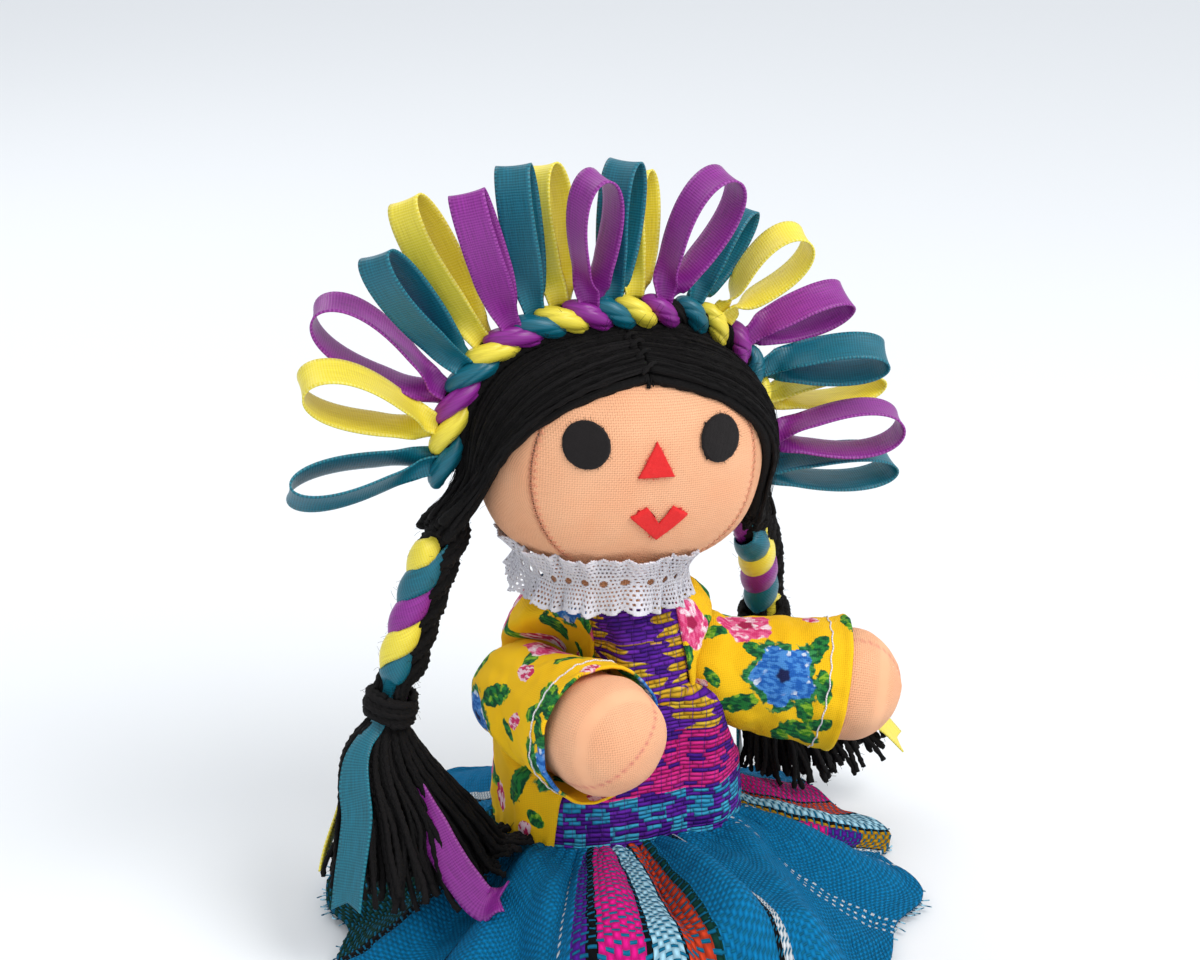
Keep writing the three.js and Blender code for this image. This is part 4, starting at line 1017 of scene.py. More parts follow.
def hair_lanes(side, lanes, steps, grow, rng):
    """Yarns combed from the parting over the side of the head to where the braid starts."""
    sign = -1 if side == "right" else 1
    share = np.linspace(0, 1, lanes)
    start = parting_direction(mix(HAIR_START, HAIR_END, share) + rng.normal(0, 0.012, lanes))
    start[:, 0] = sign * 0.008
    turn = mix(HAIR_EDGE[side], 1.6, share)
    sideways = np.full(lanes, float(sign))
    middle = unit(np.stack([sideways, np.sin(turn) * 0.95, mix(0.42, 0.0, share ** 0.8)], axis=-1))
    fan = np.stack([np.zeros(lanes), mix(-4.4, 4.4, share), mix(1.6, -1.2, share)], axis=-1)
    end = world_to_head(BRAID_ROUTES[side][0]) + fan + rng.normal(0, 1, (lanes, 3)) * [1.2, 0.8, 1.0]
    t = np.linspace(0, 1, steps)[None, :, None]
    direction = unit((1 - t) ** 2 * start[:, None] + 2 * t * (1 - t) * middle[:, None]
                     + t ** 2 * unit(end)[:, None])
    lift = grow + rng.uniform(-0.2, 0.2, (lanes, 1)) + 0.18 * np.sin(
        t[..., 0] * rng.uniform(5, 11, (lanes, 1)) + rng.uniform(0, 6, (lanes, 1)))
    base = head_surface(direction)
    path = base + head_normal(base) * lift[..., None]
    settle = ease((t - 0.74) / 0.26)
    return path * (1 - settle) + (end[:, None] + (path - path[:, -1:]) * 0.5) * settle


def hair():
    """Each half in three layers: thick yarn below, thin yarn over it, and fine fibres on top."""
    for number, side in enumerate(("right", "left")):
        rng = np.random.default_rng(100 + number)
        shape = Shape()
        under = head_to_world(hair_lanes(side, *UNDER_YARN["lanes"], rng))
        over = head_to_world(hair_lanes(side, *OVER_YARN["lanes"], rng))
        shape.tubes(under, UNDER_YARN["radius"], 6, tone=rng.uniform(0, 0.4, len(under)), ply=0.12)
        shape.tubes(over, OVER_YARN["radius"], 7, tone=rng.uniform(0, 1, len(over)), ply=0.26, pitch=1.9)
        fine = hair_lanes(side, *FINE_FIBRES["lanes"], rng)
        fine = fine + rng.normal(0, 0.16, (len(fine), 1, 3)) + rng.normal(0, 0.07, fine.shape)
        thin = FINE_FIBRES["radius"] * np.sin(np.linspace(0.2, math.pi - 0.2, fine.shape[1]))
        shape.tubes(head_to_world(fine), thin[None], 3, tone=rng.uniform(0.2, 1, len(fine)))
        place(shape.build(f"hair_{side}_yarn", BLACK_YARN), "head", "black_yarn", f"hair_{side}")
    fly_away_hair()


FLY_AWAY = 620


def fly_away_hair():
    """Loose fibres that stand out from the hair, none of them over the face."""
    rng = np.random.default_rng(120)
    angle = rng.uniform(-0.62, 2.4, FLY_AWAY)
    side = rng.choice([-1, 1], FLY_AWAY)
    over = rng.uniform(0.02, 1.35, FLY_AWAY)
    direction = parting_direction(angle) * np.cos(over)[:, None]
    direction[:, 0] = side * np.sin(over)
    foot = head_surface(direction)
    x, y, z = foot.T
    over_face = (y < -3) & ((x / 26) ** 2 + ((z - 4) / 15.5) ** 2 < 1)
    foot = foot[((z > 3.5) | (y > 4)) & ~over_face]
    normal = head_normal(foot)
    t = np.linspace(0, 1, 9)[None, :, None]
    drift = unit(rng.normal(size=foot.shape) + normal * 0.4)
    curl = unit(np.cross(drift, normal))
    single = (len(foot), 1, 1)
    reach = rng.uniform(1.5, 5.5, single)
    path = foot[:, None] + normal[:, None] * (2.4 + t * reach * rng.uniform(0.1, 0.7, single))
    path = path + drift[:, None] * t * reach + curl[:, None] * t**2 * reach * rng.normal(0, 0.5, single)
    shape = Shape()
    shape.tubes(head_to_world(path), LOOSE_FIBRE, 3, tone=0.8)
    place(shape.build("hair_fly_away", BLACK_YARN), "head", "black_yarn")


PARTING = {"angles": (-0.56, 1.9), "stitches": 17, "yarn": 0.4}
TUFT = {"yarns": 12, "yarn": 0.17, "angle": -0.5}


def parting_stitch():
    """Yarn stitches that hold the hair down along the parting, with a tuft at the front."""
    rng = np.random.default_rng(130)
    shape = Shape()
    across = np.linspace(-1, 1, 9)
    stitches = []
    for angle in np.linspace(*PARTING["angles"], PARTING["stitches"]):
        direction = parting_direction(angle + 0.05 * across)
        direction[:, 0] = 0.075 * across
        foot = head_surface(direction)
        stitches.append(foot + head_normal(foot) * (2.55 + 0.75 * (1 - across**2))[:, None])
    tones = rng.uniform(0, 1, len(stitches))
    shape.tubes(head_to_world(np.array(stitches)), PARTING["yarn"], 7, tone=tones, ply=0.18)
    foot = head_surface(parting_direction(np.array(TUFT["angle"])))
    t = np.linspace(0, 1, 7)[:, None]
    tuft = []
    for _ in range(TUFT["yarns"]):
        lean = vec(rng.normal() * 0.8, -1.1 - rng.uniform(0, 0.7), -0.6 - rng.uniform(0, 1.6))
        tuft.append(foot + vec(rng.normal() * 0.5, -1.9, 0.3) + lean * t + UP * 0.4 * np.sin(math.pi * t))
    shape.tubes(head_to_world(np.array(tuft)), TUFT["yarn"], 5, tone=0.4)
    place(shape.build("parting_stitch_yarn", BLACK_YARN), "head", "black_yarn", "parting_stitch")


# Crown
def crown_point(degrees):
    """Points on the crown's middle line, at angles from the doll's left upwards."""
    angle = np.radians(degrees)
    back = CROWN_BACK + CROWN_LAG * ease(np.maximum(np.cos(angle), 0))
    half = HEAD_HALF + HAIR_THICK
    shrink = (1 - (back / half[1]) ** HEAD_ROUNDNESS) ** (1 / HEAD_ROUNDNESS)
    stand = CROWN_CORE + 2 * GAP
    across = (np.abs(np.cos(angle)) / (half[0] * shrink + stand)) ** HEAD_ROUNDNESS
    up = (np.abs(np.sin(angle)) / (half[2] * shrink + stand)) ** HEAD_ROUNDNESS
    reach = (across + up) ** (-1 / HEAD_ROUNDNESS)
    return np.stack([reach * np.cos(angle), back, reach * np.sin(angle)], axis=-1)


def crown_tangent(degrees):
    return unit(crown_point(degrees - 1) - crown_point(degrees + 1))


# Each loop: place round the crown, direction and length from base to tip, open width,
# twist away from lying flat in the crown's plane, and lean to the back, in degrees and mm
LOOPS = [
    (181, 190, 25, 6, 45, -4), (170, 155, 26, 9, -22, -8), (160, 145, 26, 9, -22, 6),
    (150, 129, 26, 6, 50, -8), (141, 120, 27, 6, 50, 8), (132, 113, 26, 5, 70, -10),
    (123, 101, 25, 6, 60, 4), (114, 94, 23, 5, 30, 18), (104, 94, 23, 7, 15, -11),
    (94, 85, 23, 6, 40, 8), (84, 83, 21, 5, 40, 24), (73, 68, 24, 9, 20, -8),
    (58, 58, 18, 5, 40, 12), (47, 51, 19.5, 8, 10, -14), (33, 16, 20, 7, 35, 2),
    (21, 8, 22, 7, 30, -14), (10, 0, 26, 6, 15, 14), (-3, 6, 25, 9, 10, -11), (-15, -4, 29, 7, 20, 6),
]
COLOURS = ["teal", "yellow", "purple"]
CORE = {"strands": 9, "pitch": 16, "radius": 1.55, "yarn": 0.72}
PADDING = {"yarns": 5, "half": 1.8, "depth": 2.7, "yarn": 0.8}
# How far a loop's foot moves back for each degree that it leans
BASE_SHIFT = 0.09
LOOP_FOOT = CROWN_CORE + GAP + 1.45
LOOP_BLUNTNESS = 1.866
RIBBON_THICK = 0.35
RIBBON_COLUMNS = 9
BEAD_RADIUS = 1.62
# How far a bead's path runs round the crown to each side, in degrees
BEAD_TURN = 8.213


def add_ribbon(shape, path, across, width, cup, notch=0.0, tone=0.5):
    """A satin ribbon along a path: across gives its width's direction, cup how far its edges curl back."""
    ahead = unit(np.gradient(path, axis=0))
    side = unit(across - (across * ahead).sum(-1, keepdims=True) * ahead)
    face = np.cross(ahead, side)
    share = np.linspace(-1, 1, RIBBON_COLUMNS)
    points = path[:, None] + side[:, None] * (share * width[:, None] / 2)[..., None]
    points = points - face[:, None] * (share**2 * cup[:, None])[..., None]
    reach = lengths(path)
    flat = np.stack(np.broadcast_arrays(share * RIBBON_WIDTH / 2, reach[:, None]), axis=-1)
    if notch:
        pull = ease((reach - reach[-1] + 2.5 * notch) / (2.5 * notch))[:, None]
        points = points - ahead[:, None] * (pull * notch * (1 - np.abs(share)))[..., None]
    shape.sheet(points, RIBBON_THICK, flat, tone=tone)


def bead_path(at, steps):
    """The ribbon's slanting turn round the core, from the loop's foot on top to low in front."""
    s = np.linspace(-1, 1, steps)
    centre = crown_point(at - s * BEAD_TURN)
    out = unit(centre * [1, 0, 1])
    angle = np.radians(mix(98, -80, (s + 1) / 2))
    radius = (1.95 - 0.55 * s**4)[:, None]
    return centre + on_circle(FRONT, out, angle) * radius


def add_bead(shape, at, rng):
    """A ribbon drawn together into a creased, slanting bead."""
    path = head_to_world(bead_path(at, 34))
    share = np.linspace(0, math.pi, len(path))[:, None]
    ahead = unit(np.gradient(path, axis=0))
    side = unit(np.cross(ahead, vec(0.1, 0.2, 1)))[:, None]
    above = np.cross(ahead[:, None], side)
    angle = np.linspace(0, 2 * math.pi, 33)[None]
    twist = angle + 0.9 * share
    wide = 0.16 * np.maximum(np.cos(3 * twist + rng.uniform(0, 6)), 0) ** 4
    narrow = 0.1 * np.maximum(np.cos(2 * twist + 1), 0) ** 6
    swell = BEAD_RADIUS * (0.5 + 0.5 * np.sin(share) ** 0.5) * (1 - wide - narrow)
    points = path[:, None] + on_circle(side, above, angle) * swell[..., None]
    flat = np.stack(np.broadcast_arrays(angle * BEAD_RADIUS, lengths(path)[:, None]), axis=-1)
    shape.sheet(points[::-1, :-1], 0.3, flat[::-1], wrap=True, tone=rng.uniform(0.3, 0.7), mark=1.0, cap=True)


def ribbon_loop(number, values):
    """One unbroken ribbon: a bead round the core, and a loop that runs out from it and back."""
    at, aim, length, opening_width, twist, lean = values
    aim, twist, tipped = math.radians(aim), math.radians(twist), math.radians(lean)
    rng = np.random.default_rng(300 + number)
    shape = Shape()
    add_bead(shape, at, rng)
    centre, along = crown_point(at), crown_tangent(at)
    out = unit(np.cross(FRONT, along))
    ahead = unit(vec(math.cos(aim), 0, math.sin(aim)) * math.cos(tipped) - FRONT * math.sin(tipped))
    opening = turned(unit(np.cross(-FRONT, ahead)), ahead, twist)
    across = np.cross(ahead, opening)
    if across @ along < 0:
        along = -along
    base = centre + out * LOOP_FOOT - FRONT * (lean * BASE_SHIFT)
    s = np.linspace(0, 1, 64)
    reach = length * np.sin(math.pi * s) ** LOOP_BLUNTNESS
    gap = opening_width * 0.66 * np.sin(2 * math.pi * s) * np.sin(math.pi * s) + mix(0.6, -0.6, s)
    from_foot = np.minimum(s, 1 - s)
    path = base + ahead * reach[:, None] + opening * gap[:, None]
    path = path - out * (2.2 * np.maximum(0, 1 - from_foot / 0.06))[:, None]
    sway = 0.3 * np.sin(2 * math.pi * s + rng.uniform(0, 6)) * rng.uniform(0.3, 1)
    path = path + across * sway[:, None]
    turn = ease(from_foot / 0.16)[:, None]
    spread = ease(from_foot / 0.2)
    width_way = head_to_world(unit(along * (1 - turn) + across * turn)) - head_to_world(np.zeros(3))
    add_ribbon(shape, head_to_world(path), width_way, mix(3.2, RIBBON_WIDTH, spread), mix(1.1, 0.25, spread),
               tone=rng.uniform(0.3, 0.7))
    name = f"ribbon_loop_{number + 1:02d}"
    shade = COLOURS[number % len(COLOURS)]
    place(shape.build(name + "_satin", SATIN[shade]), "head", "satin_" + shade, name)


def crown():
    """The yarn core, twisted over a padding of straight yarns, and its ribbon loops."""
    centre = crown_point(np.linspace(*CROWN_ENDS, 150))
    back = -FRONT
    above = np.cross(unit(np.gradient(centre, axis=0)), back)
    rng = np.random.default_rng(200)
    shape = Shape()
    for k in range(CORE["strands"]):
        angle = 2 * math.pi * (k / CORE["strands"] + lengths(centre) / CORE["pitch"])
        path = centre + on_circle(back, above, angle) * CORE["radius"]
        shape.tubes(head_to_world(path)[None], CORE["yarn"], 7, tone=rng.uniform(0, 1), ply=0.15)
    under = centre - unit(centre * [1, 0, 1]) * PADDING["depth"]
    for shift in np.linspace(-PADDING["half"], PADDING["half"], PADDING["yarns"]):
        path = head_to_world(under + back * shift)
        shape.tubes(path[None], PADDING["yarn"], 7, tone=rng.uniform(0, 1), ply=0.2)
    place(shape.build("crown_core_yarn", BLACK_YARN), "head", "black_yarn", "crown_core")
    for number, values in enumerate(LOOPS):
        ribbon_loop(number, values)


# Lace
def on_outline(turn, half_x, half_y, power):
    """Places on a rounded oblong, at angles from the doll's left towards its back."""
    c, s = np.cos(turn), np.sin(turn)
    return (half_x * np.sign(c) * np.abs(c) ** (2 / power), half_y * np.sign(s) * np.abs(s) ** (2 / power))


LACE_COLUMNS = 640
LACE_ROWS = 56
# Columns from one scallop, and one eyelet, to the next, and the row of the eyelets
SCALLOP = 20
EYELET_ROW = 26
LACE_THREAD = 0.3
LACE_LEFT_SHARE = 0.74
LACE_LENGTH, LACE_DEPTH = 150, 11.5
# The ruffle's waves: depth in mm, number round the neck, and shift in radians
LACE_RUFFLES = [(0.9, 12, 0.0), (0.5, 29, 1.3), (0.3, 47, 0.0)]


def lace_surface(u, v):
    """The ruffle round the neck, u round it and v down it, drawn in at the middle and raised in front."""
    turn = 2 * math.pi * u
    waist = np.sin(math.pi * v)
    flare = np.abs(v - 0.5) * 2
    ruffle = sum(depth * np.cos(folds * turn + shift) * flare for depth, folds, shift in LACE_RUFFLES)
    half_x = mix(21.8, 18.8, v) - 2.4 * waist + ruffle
    half_y = mix(18.2, 16.0, v) - 1.6 * waist + ruffle
    x, y = on_outline(turn, half_x, half_y, HEAD_ROUNDNESS)
    x = np.where(x > 0, x * LACE_LEFT_SHARE, x)
    raised = 1.6 - 2.4 * ease(np.sin(turn) * 2 - 0.6)
    z = mix(LACE_TOP + raised, LACE_BOTTOM, v) + 0.4 * np.cos(12 * turn + 0.8) * v
    return np.stack([x, y, z], axis=-1)


def lace_holes(row, column):
    """Where the net is open: small meshes in rows, a row of larger eyelets and a scalloped edge."""
    mesh = (((column + 2 * ((row // 4) % 2)) % 4) // 2 == 1) & ((row % 4) // 2 == 1)
    half = SCALLOP / 2 - 0.5
    eyelet = ((column % SCALLOP - half) / 4.6) ** 2 + ((row - EYELET_ROW) / 3.4) ** 2
    mesh = np.where(eyelet < 2.1, eyelet < 1, mesh)
    bottom = LACE_ROWS - 3.5 * (1 - np.abs(np.cos(math.pi * column / SCALLOP)))
    top = 2.5 * (1 - np.abs(np.cos(math.pi * column / (SCALLOP / 2))))
    edge = (row > bottom - 3) | (row < top + 2)
    return (mesh & ~edge) | (row > bottom) | (row < top)


def lace_collar():
    rows, around = LACE_ROWS, LACE_COLUMNS
    u, v = np.meshgrid(np.arange(around) / around, np.linspace(0, 1, rows + 1), indexing="xy")
    world = head_to_world(lace_surface(u, v)).reshape(-1, 3)
    flat = np.stack([u * LACE_LENGTH, v * LACE_DEPTH], axis=-1).reshape(-1, 2)
    i, j = np.meshgrid(np.arange(rows), np.arange(around), indexing="ij")
    solid = ~lace_holes(i, j)
    i, j = i[solid], j[solid]
    k = (j + 1) % around
    corners = np.stack([i * around + j, i * around + k, (i + 1) * around + k, (i + 1) * around + j], axis=1)
    used, corners_used = np.unique(corners, return_inverse=True)
    shape = Shape()
    shape.add(world[used], [corners_used.reshape(corners.shape)], [flat[corners]], 0.5, 0.0)
    piece = shape.build("lace_collar_net", LACE)
    thicken = piece.modifiers.new("thread", "SOLIDIFY")
    thicken.thickness = LACE_THREAD * MM
    thicken.offset = 0
    apply_modifiers(piece)
    place(piece, "head", "white_lace", "lace_collar")


# Limbs
# Radii at shares of a limb's length
ARM_RADII = [(0, 8.8), (0.3, 9.5), (0.62, 10.2), (0.8, 10.7)]
LEG_RADII = [(0, 7.5), (0.35, 7.4), (0.6, 6.8), (0.8, 7.1)]
LIMBS = {"arm": (ARM_LENGTH, ARM_RADII), "leg": (LEG_LENGTH, LEG_RADII)}
# Radii in mm by which the cloths' weave and prints are laid flat
LIMB_RADIUS = 9.5
BODY_RADIUS = 17
SLEEVE_RADIUS = 11


def arm_aims():
    right = turned(turned(FRONT, vec(1, 0, 0), -math.radians(5)), UP, math.radians(17))
    left = turned(turned(vec(1, 0, 0), vec(0, 1, 0), math.radians(10)), UP, -math.radians(17))
    return {"right": right, "left": left}


ARM_AIMS = arm_aims()
SHOULDERS = {"right": SHOULDER * [-1, 1, 1], "left": SHOULDER}


def radius_at(radii, t):
    """A limb's radius at shares of its length, eased between the given ones."""
    t = np.clip(t, radii[0][0], radii[-1][0])
    result = np.full(np.shape(t), float(radii[0][1]))
    for (t0, r0), (t1, r1) in zip(radii, radii[1:]):
        result = np.where(t >= t0, mix(r0, r1, ease((t - t0) / (t1 - t0))), result)
    return result


def aimed_frame(direction):
    """A direction, the level one across it and the one square to both."""
    ahead = unit(direction)
    across = unit(np.cross(UP, ahead))
    return ahead, across, np.cross(ahead, across)


# How far the end of a limb has turned, in radians, where its weave is laid round the tip instead
TIP_FACING = 0.55
# How far a limb is rounded over at its root and at its tip, in degrees
ROOT_CLOSED, TIP_CLOSED = 62, 89


def limb_grid(origin, direction, length, radii, seed, seam):
    """A stuffed limb from its root to its rounded end: points, places laid flat and seam marks."""
    ahead, across, above = aimed_frame(direction)
    root, end = radii[0][1], radii[-1][1]
    end_start = length - end
    root_turn = np.linspace(-math.radians(ROOT_CLOSED), 0, 10)[:-1]
    straight = np.linspace(0, end_start, 38)
    end_turn = np.linspace(0, math.radians(TIP_CLOSED), 26)[1:]
    distances = np.concatenate([root * np.sin(root_turn), straight, end_start + end * np.sin(end_turn)])
    straight_sizes = radius_at(radii, straight / end_start * 0.8)
    sizes = np.concatenate([root * np.cos(root_turn), straight_sizes, end * np.cos(end_turn)])
    facing = np.concatenate([root_turn, np.zeros_like(straight), end_turn])[:, None]
    angle = np.linspace(0, 2 * math.pi, 65)
    circle = on_circle(across, above, angle)
    normal = circle[None] * np.cos(facing)[..., None] + ahead * np.sin(facing)[..., None]
    points = origin + ahead * distances[:, None, None] + circle[None] * sizes[:, None, None]
    along = np.concatenate([[0], np.cumsum(np.hypot(np.diff(distances), np.diff(sizes)))])[:, None]
    apart = np.sin(angle - seam)[None] * sizes[:, None]
    pucker = 1 + np.cos(2 * math.pi * along / 1.6)
    dip = 0.12 * np.exp(-(apart / 0.5) ** 2) + 0.04 * np.exp(-(apart / 1.8) ** 2) * pucker
    points = points - normal * dip[..., None]
    mark = np.exp(-(apart / 0.4) ** 2) * (0.5 + 0.5 * np.cos(2 * math.pi * along / 1.1))
    bumps = 0.28 * waves(points, 11, seed) + 0.08 * waves(points, 4, seed + 1)
    points = points + normal * bumps[..., None]
    wrapped = np.stack(np.broadcast_arrays(angle[None] * LIMB_RADIUS, along), axis=-1)
    to_tip = along[-1] - along
    rounded = np.stack([to_tip * np.cos(angle), to_tip * np.sin(angle)], axis=-1)
    flat = np.where(facing[..., None] > TIP_FACING, rounded, wrapped)
    clear = 0.5 * ease(np.abs(facing - TIP_FACING) / 0.22)
    return points[:, :-1], flat, mark[:, :-1], clear


def limb(kind, side, origin, aim, seed, seam):
    """A limb's padded skin and the stuffing in it. The seam shows on an arm only."""
    length, radii = LIMBS[kind]
    points, flat, mark, clear = limb_grid(origin, aim, length, radii, seed, seam)
    points[..., 2] = np.maximum(points[..., 2], 0.0)
    body = f"{kind}_{side}"
    skin = sheet_piece(body + "_cloth", SKIN_CLOTH, (body, "skin_cloth", f"{kind}_skin_{side}"), points, SKIN,
                       flat, wrap=True, tone=clear, mark=mark if kind == "arm" else 0.0, cap=True)
    stuffing = f"{kind}_stuffing_{side}"
    place(soft_copy(stuffing, 1.0, 4, STUFFING), body, "stuffing", stuffing)


def arms():
    """The right arm hangs ahead and the left one aside, each with a seam on its own side."""
    for number, (side, seam) in enumerate((("right", 40), ("left", -80))):
        limb("arm", side, SHOULDERS[side], ARM_AIMS[side], 40 + number, math.radians(seam))


def legs():
    for number, (side, sign) in enumerate((("right", -1), ("left", 1))):
        limb("leg", side, HIP * [sign, 1, 1], turned(FRONT, UP, sign * LEG_SPLAY), 50 + number, 0.2)


# Body
# Half widths and half depths of the body at heights above the seat: (height, width, depth)
BODY_SECTIONS = [
    (0, 15, 12), (3, 18.6, 14.2), (10, 20.3, 15.2), (18, 20.4, 14.4), (26, 20, 13.2), (36, 20.2, 12.2),
    (46, 20.4, 11.6), (54, 19.2, 11), (59, 17.2, 10.4), (62, 15, 10), (65, 11.6, 9.2), (NECK_HEIGHT, 8.4, 8),
]


def body_size(z):
    """Half the body's width and depth at heights above the seat."""
    heights, xs, ys = zip(*BODY_SECTIONS)
    return np.interp(z, heights, xs), np.interp(z, heights, ys)


def sleeve_width(distance):
    """A sleeve's inner radius at distances from the shoulder."""
    t = distance / SLEEVE_END
    return radius_at(ARM_RADII, np.minimum(t * 0.55, 0.8)) + GAP + 1.3 * ease(t)


# How far the body makes room for an arm's swing each way, in degrees, and the cloth between them, in mm
ARM_SWING = 28
ARM_ROOM = 2.9
# The room kept besides, in mm, and how much nearer to its middle line the body is drawn at a time
BODY_ROOM = 0.65
DRAWN_IN = 0.975


def limb_dents():
    """Balls that the sleeves fill while the arms swing, as (centre, radius)."""
    dents = []
    for side in ("right", "left"):
        aim = ARM_AIMS[side]
        axis = unit(np.cross(aim, UP))
        for angle in np.linspace(-ARM_SWING, ARM_SWING, 5):
            swung = turned(aim, axis, math.radians(angle))
            for distance in np.arange(0, SLEEVE_END, 2.5):
                dents.append((SHOULDERS[side] + swung * distance, float(sleeve_width(distance)) + ARM_ROOM))
    return dents


DENTS = limb_dents()


def drawn_in(points, offset):
    """Points moved towards the body's middle line until they clear the arms."""
    points = points.copy()
    for _ in range(60):
        clash = np.zeros(points.shape[:-1], bool)
        for centre, radius in DENTS:
            clash |= np.linalg.norm(points - centre, axis=-1) < radius + BODY_ROOM - offset
        if not clash.any():
            break
        points[clash, :2] *= DRAWN_IN
    return points


def relaxed(points, passes, wrap):
    """A grid smoothed among its neighbours, with its first and last rows held."""
    points = points.copy()
    for _ in range(passes):
        sides = (np.roll(points, 1, axis=1) + np.roll(points, -1, axis=1)) / 2
        if not wrap:
            sides[:, 0], sides[:, -1] = points[:, 0], points[:, -1]
        middle = (points[:-2] + points[2:] + 2 * sides[1:-1]) / 4
        points[1:-1] = mix(points[1:-1], middle, 0.6)
    return points


def body_grid(z, turn, offset):
    """Points on the body's form, grown by an offset, with room for the arms."""
    half_x, half_y = body_size(z)
    x, y = on_outline(turn, half_x + offset, half_y + offset, BODY_ROUNDNESS)
    points = np.stack(np.broadcast_arrays(x, y, z), axis=-1).astype(float)
    return drawn_in(points, offset)


def torso():
    for body in ("torso", "head"):
        place(soft_copy(body + "_stuffing", 1.2, 4, STUFFING), body, "stuffing", body + "_stuffing")
    turn = np.linspace(0, 2 * math.pi, 97)
    heights = np.linspace(SKIN, NECK_HEIGHT, 60)
    z, angle = np.meshgrid(heights, turn[:-1], indexing="ij")
    points = relaxed(body_grid(z, angle, 0.0), 6, True)
    flat = np.stack(np.broadcast_arrays(turn * BODY_RADIUS, heights[::-1, None]), axis=-1)
    skin = sheet_piece("torso_cloth", SKIN_CLOTH, ("torso", "skin_cloth", "torso_skin"), points[::-1], SKIN,
                       flat, wrap=True, cap=True)


# Clothes
def edge_turn(x, z, offset):
    """The angle on the front of the body's outline at a distance x from the middle."""
    half_x, _ = body_size(z)
    share = np.clip(x / (half_x + offset), 0, 1)
    return np.arccos(share ** (BODY_ROUNDNESS / 2))


# The height below which the bodice laps over the blouse on the doll's left side
BODICE_WRAP = 48.0
# How far it laps over there, in radians and mm
LAP_TURN = 0.32
LAP_RISE = 2.9
BODICE_THICK = 0.8
CLOTH_THICK = 0.5
BLOUSE_PRINT = (-59.0, -15.5)


def bodice():
    """The brocade panel in front, which laps over the blouse low on the doll's left."""
    offset = GAP + BODICE_THICK
    heights = np.linspace(BLOUSE_TOP - 0.5, SKIRT_TOP + 0.2, 66)[:, None]
    share = np.linspace(-1, 1, 84)[None]
    half = mix(OPENING_BOTTOM + 3, OPENING_TOP + 3, (heights - SKIRT_TOP) / (BLOUSE_TOP - SKIRT_TOP))
    low = ease((BODICE_WRAP - heights) / 4)
    lap = LAP_TURN * low * (share > 0)
    turn = -math.pi / 2 + share * (math.pi / 2 - edge_turn(half, heights, offset) + lap)
    z = np.broadcast_to(heights, turn.shape)
    over_blouse = LAP_RISE * ease((share - 0.3) / 0.25) * low
    points = relaxed(body_grid(z, turn, offset + over_blouse), 4, False)
    sway = 0.25 * waves(points, 9, 61) + 0.12 * waves(points, 3.5, 62)
    roll = 0.5 * bump(heights, SKIRT_TOP + 1.6, 1.8)
    points = points + grid_normals(points, False) * (sway * 0.6 + roll)[..., None]
    flat = np.stack([(turn + math.pi / 2) * BODY_RADIUS, z], axis=-1)
    piece = sheet_piece("bodice_cloth", BROCADE, ("torso", "brocade", "bodice"), points, BODICE_THICK, flat)


def blouse():
    """The blouse runs round the back from one front edge to the other."""
    offset = 2 * GAP + BODICE_THICK + 0.85
    heights = np.linspace(BLOUSE_TOP, SKIRT_TOP + 0.2, 72)[:, None]
    half = mix(OPENING_BOTTOM, OPENING_TOP, (heights - SKIRT_TOP) / (BLOUSE_TOP - SKIRT_TOP))
    opening = edge_turn(half, heights, offset)
    share = np.linspace(0, 1, 190)[None]
    turn = -opening + share * (math.pi + 2 * opening)
    z = np.broadcast_to(heights, turn.shape)
    points = relaxed(body_grid(z, turn[:, ::-1], offset), 8, False)
    loose = ease((46 - heights) / 20) * ease((heights - SKIRT_TOP) / 6)
    folds = 0.8 * np.sin(turn * 9 + 0.6 * np.sin(heights / 7)) * loose
    creases = 0.35 * waves(points * [1, 1, 0.5], 6, 71) + 0.12 * waves(points, 2.6, 72)
    gathers = 0.3 * np.sin(turn * 46) * ease((SKIRT_TOP + 5 - heights) / 5)
    hem = 0.35 * bump(share * 80, 0.8, 1.2) + 0.35 * bump(share * 80, 79.2, 1.2)
    lift = np.maximum(folds + creases, -0.1) + gathers + hem
    points = points + grid_normals(points, False) * lift[..., None]
    flat = np.stack([(turn + math.pi / 2) * 19 + BLOUSE_PRINT[0], z + BLOUSE_PRINT[1]], axis=-1)
    where = ("torso", "floral_cotton", "blouse")
    piece = sheet_piece("blouse_cloth", FLORAL, where, points, CLOTH_THICK, flat)


SLEEVE_ROOT = 9.0
# How far the rounded root closes behind the shoulder, in degrees
SLEEVE_CLOSED = 89.5
CUFF_STITCHES = 40
# Where the print lies on a sleeve: the way it runs, and its shift round and along the arm
SLEEVE_PRINT = {"right": (-1, 28.0, 19.5), "left": (1, -4.9, 8.5)}


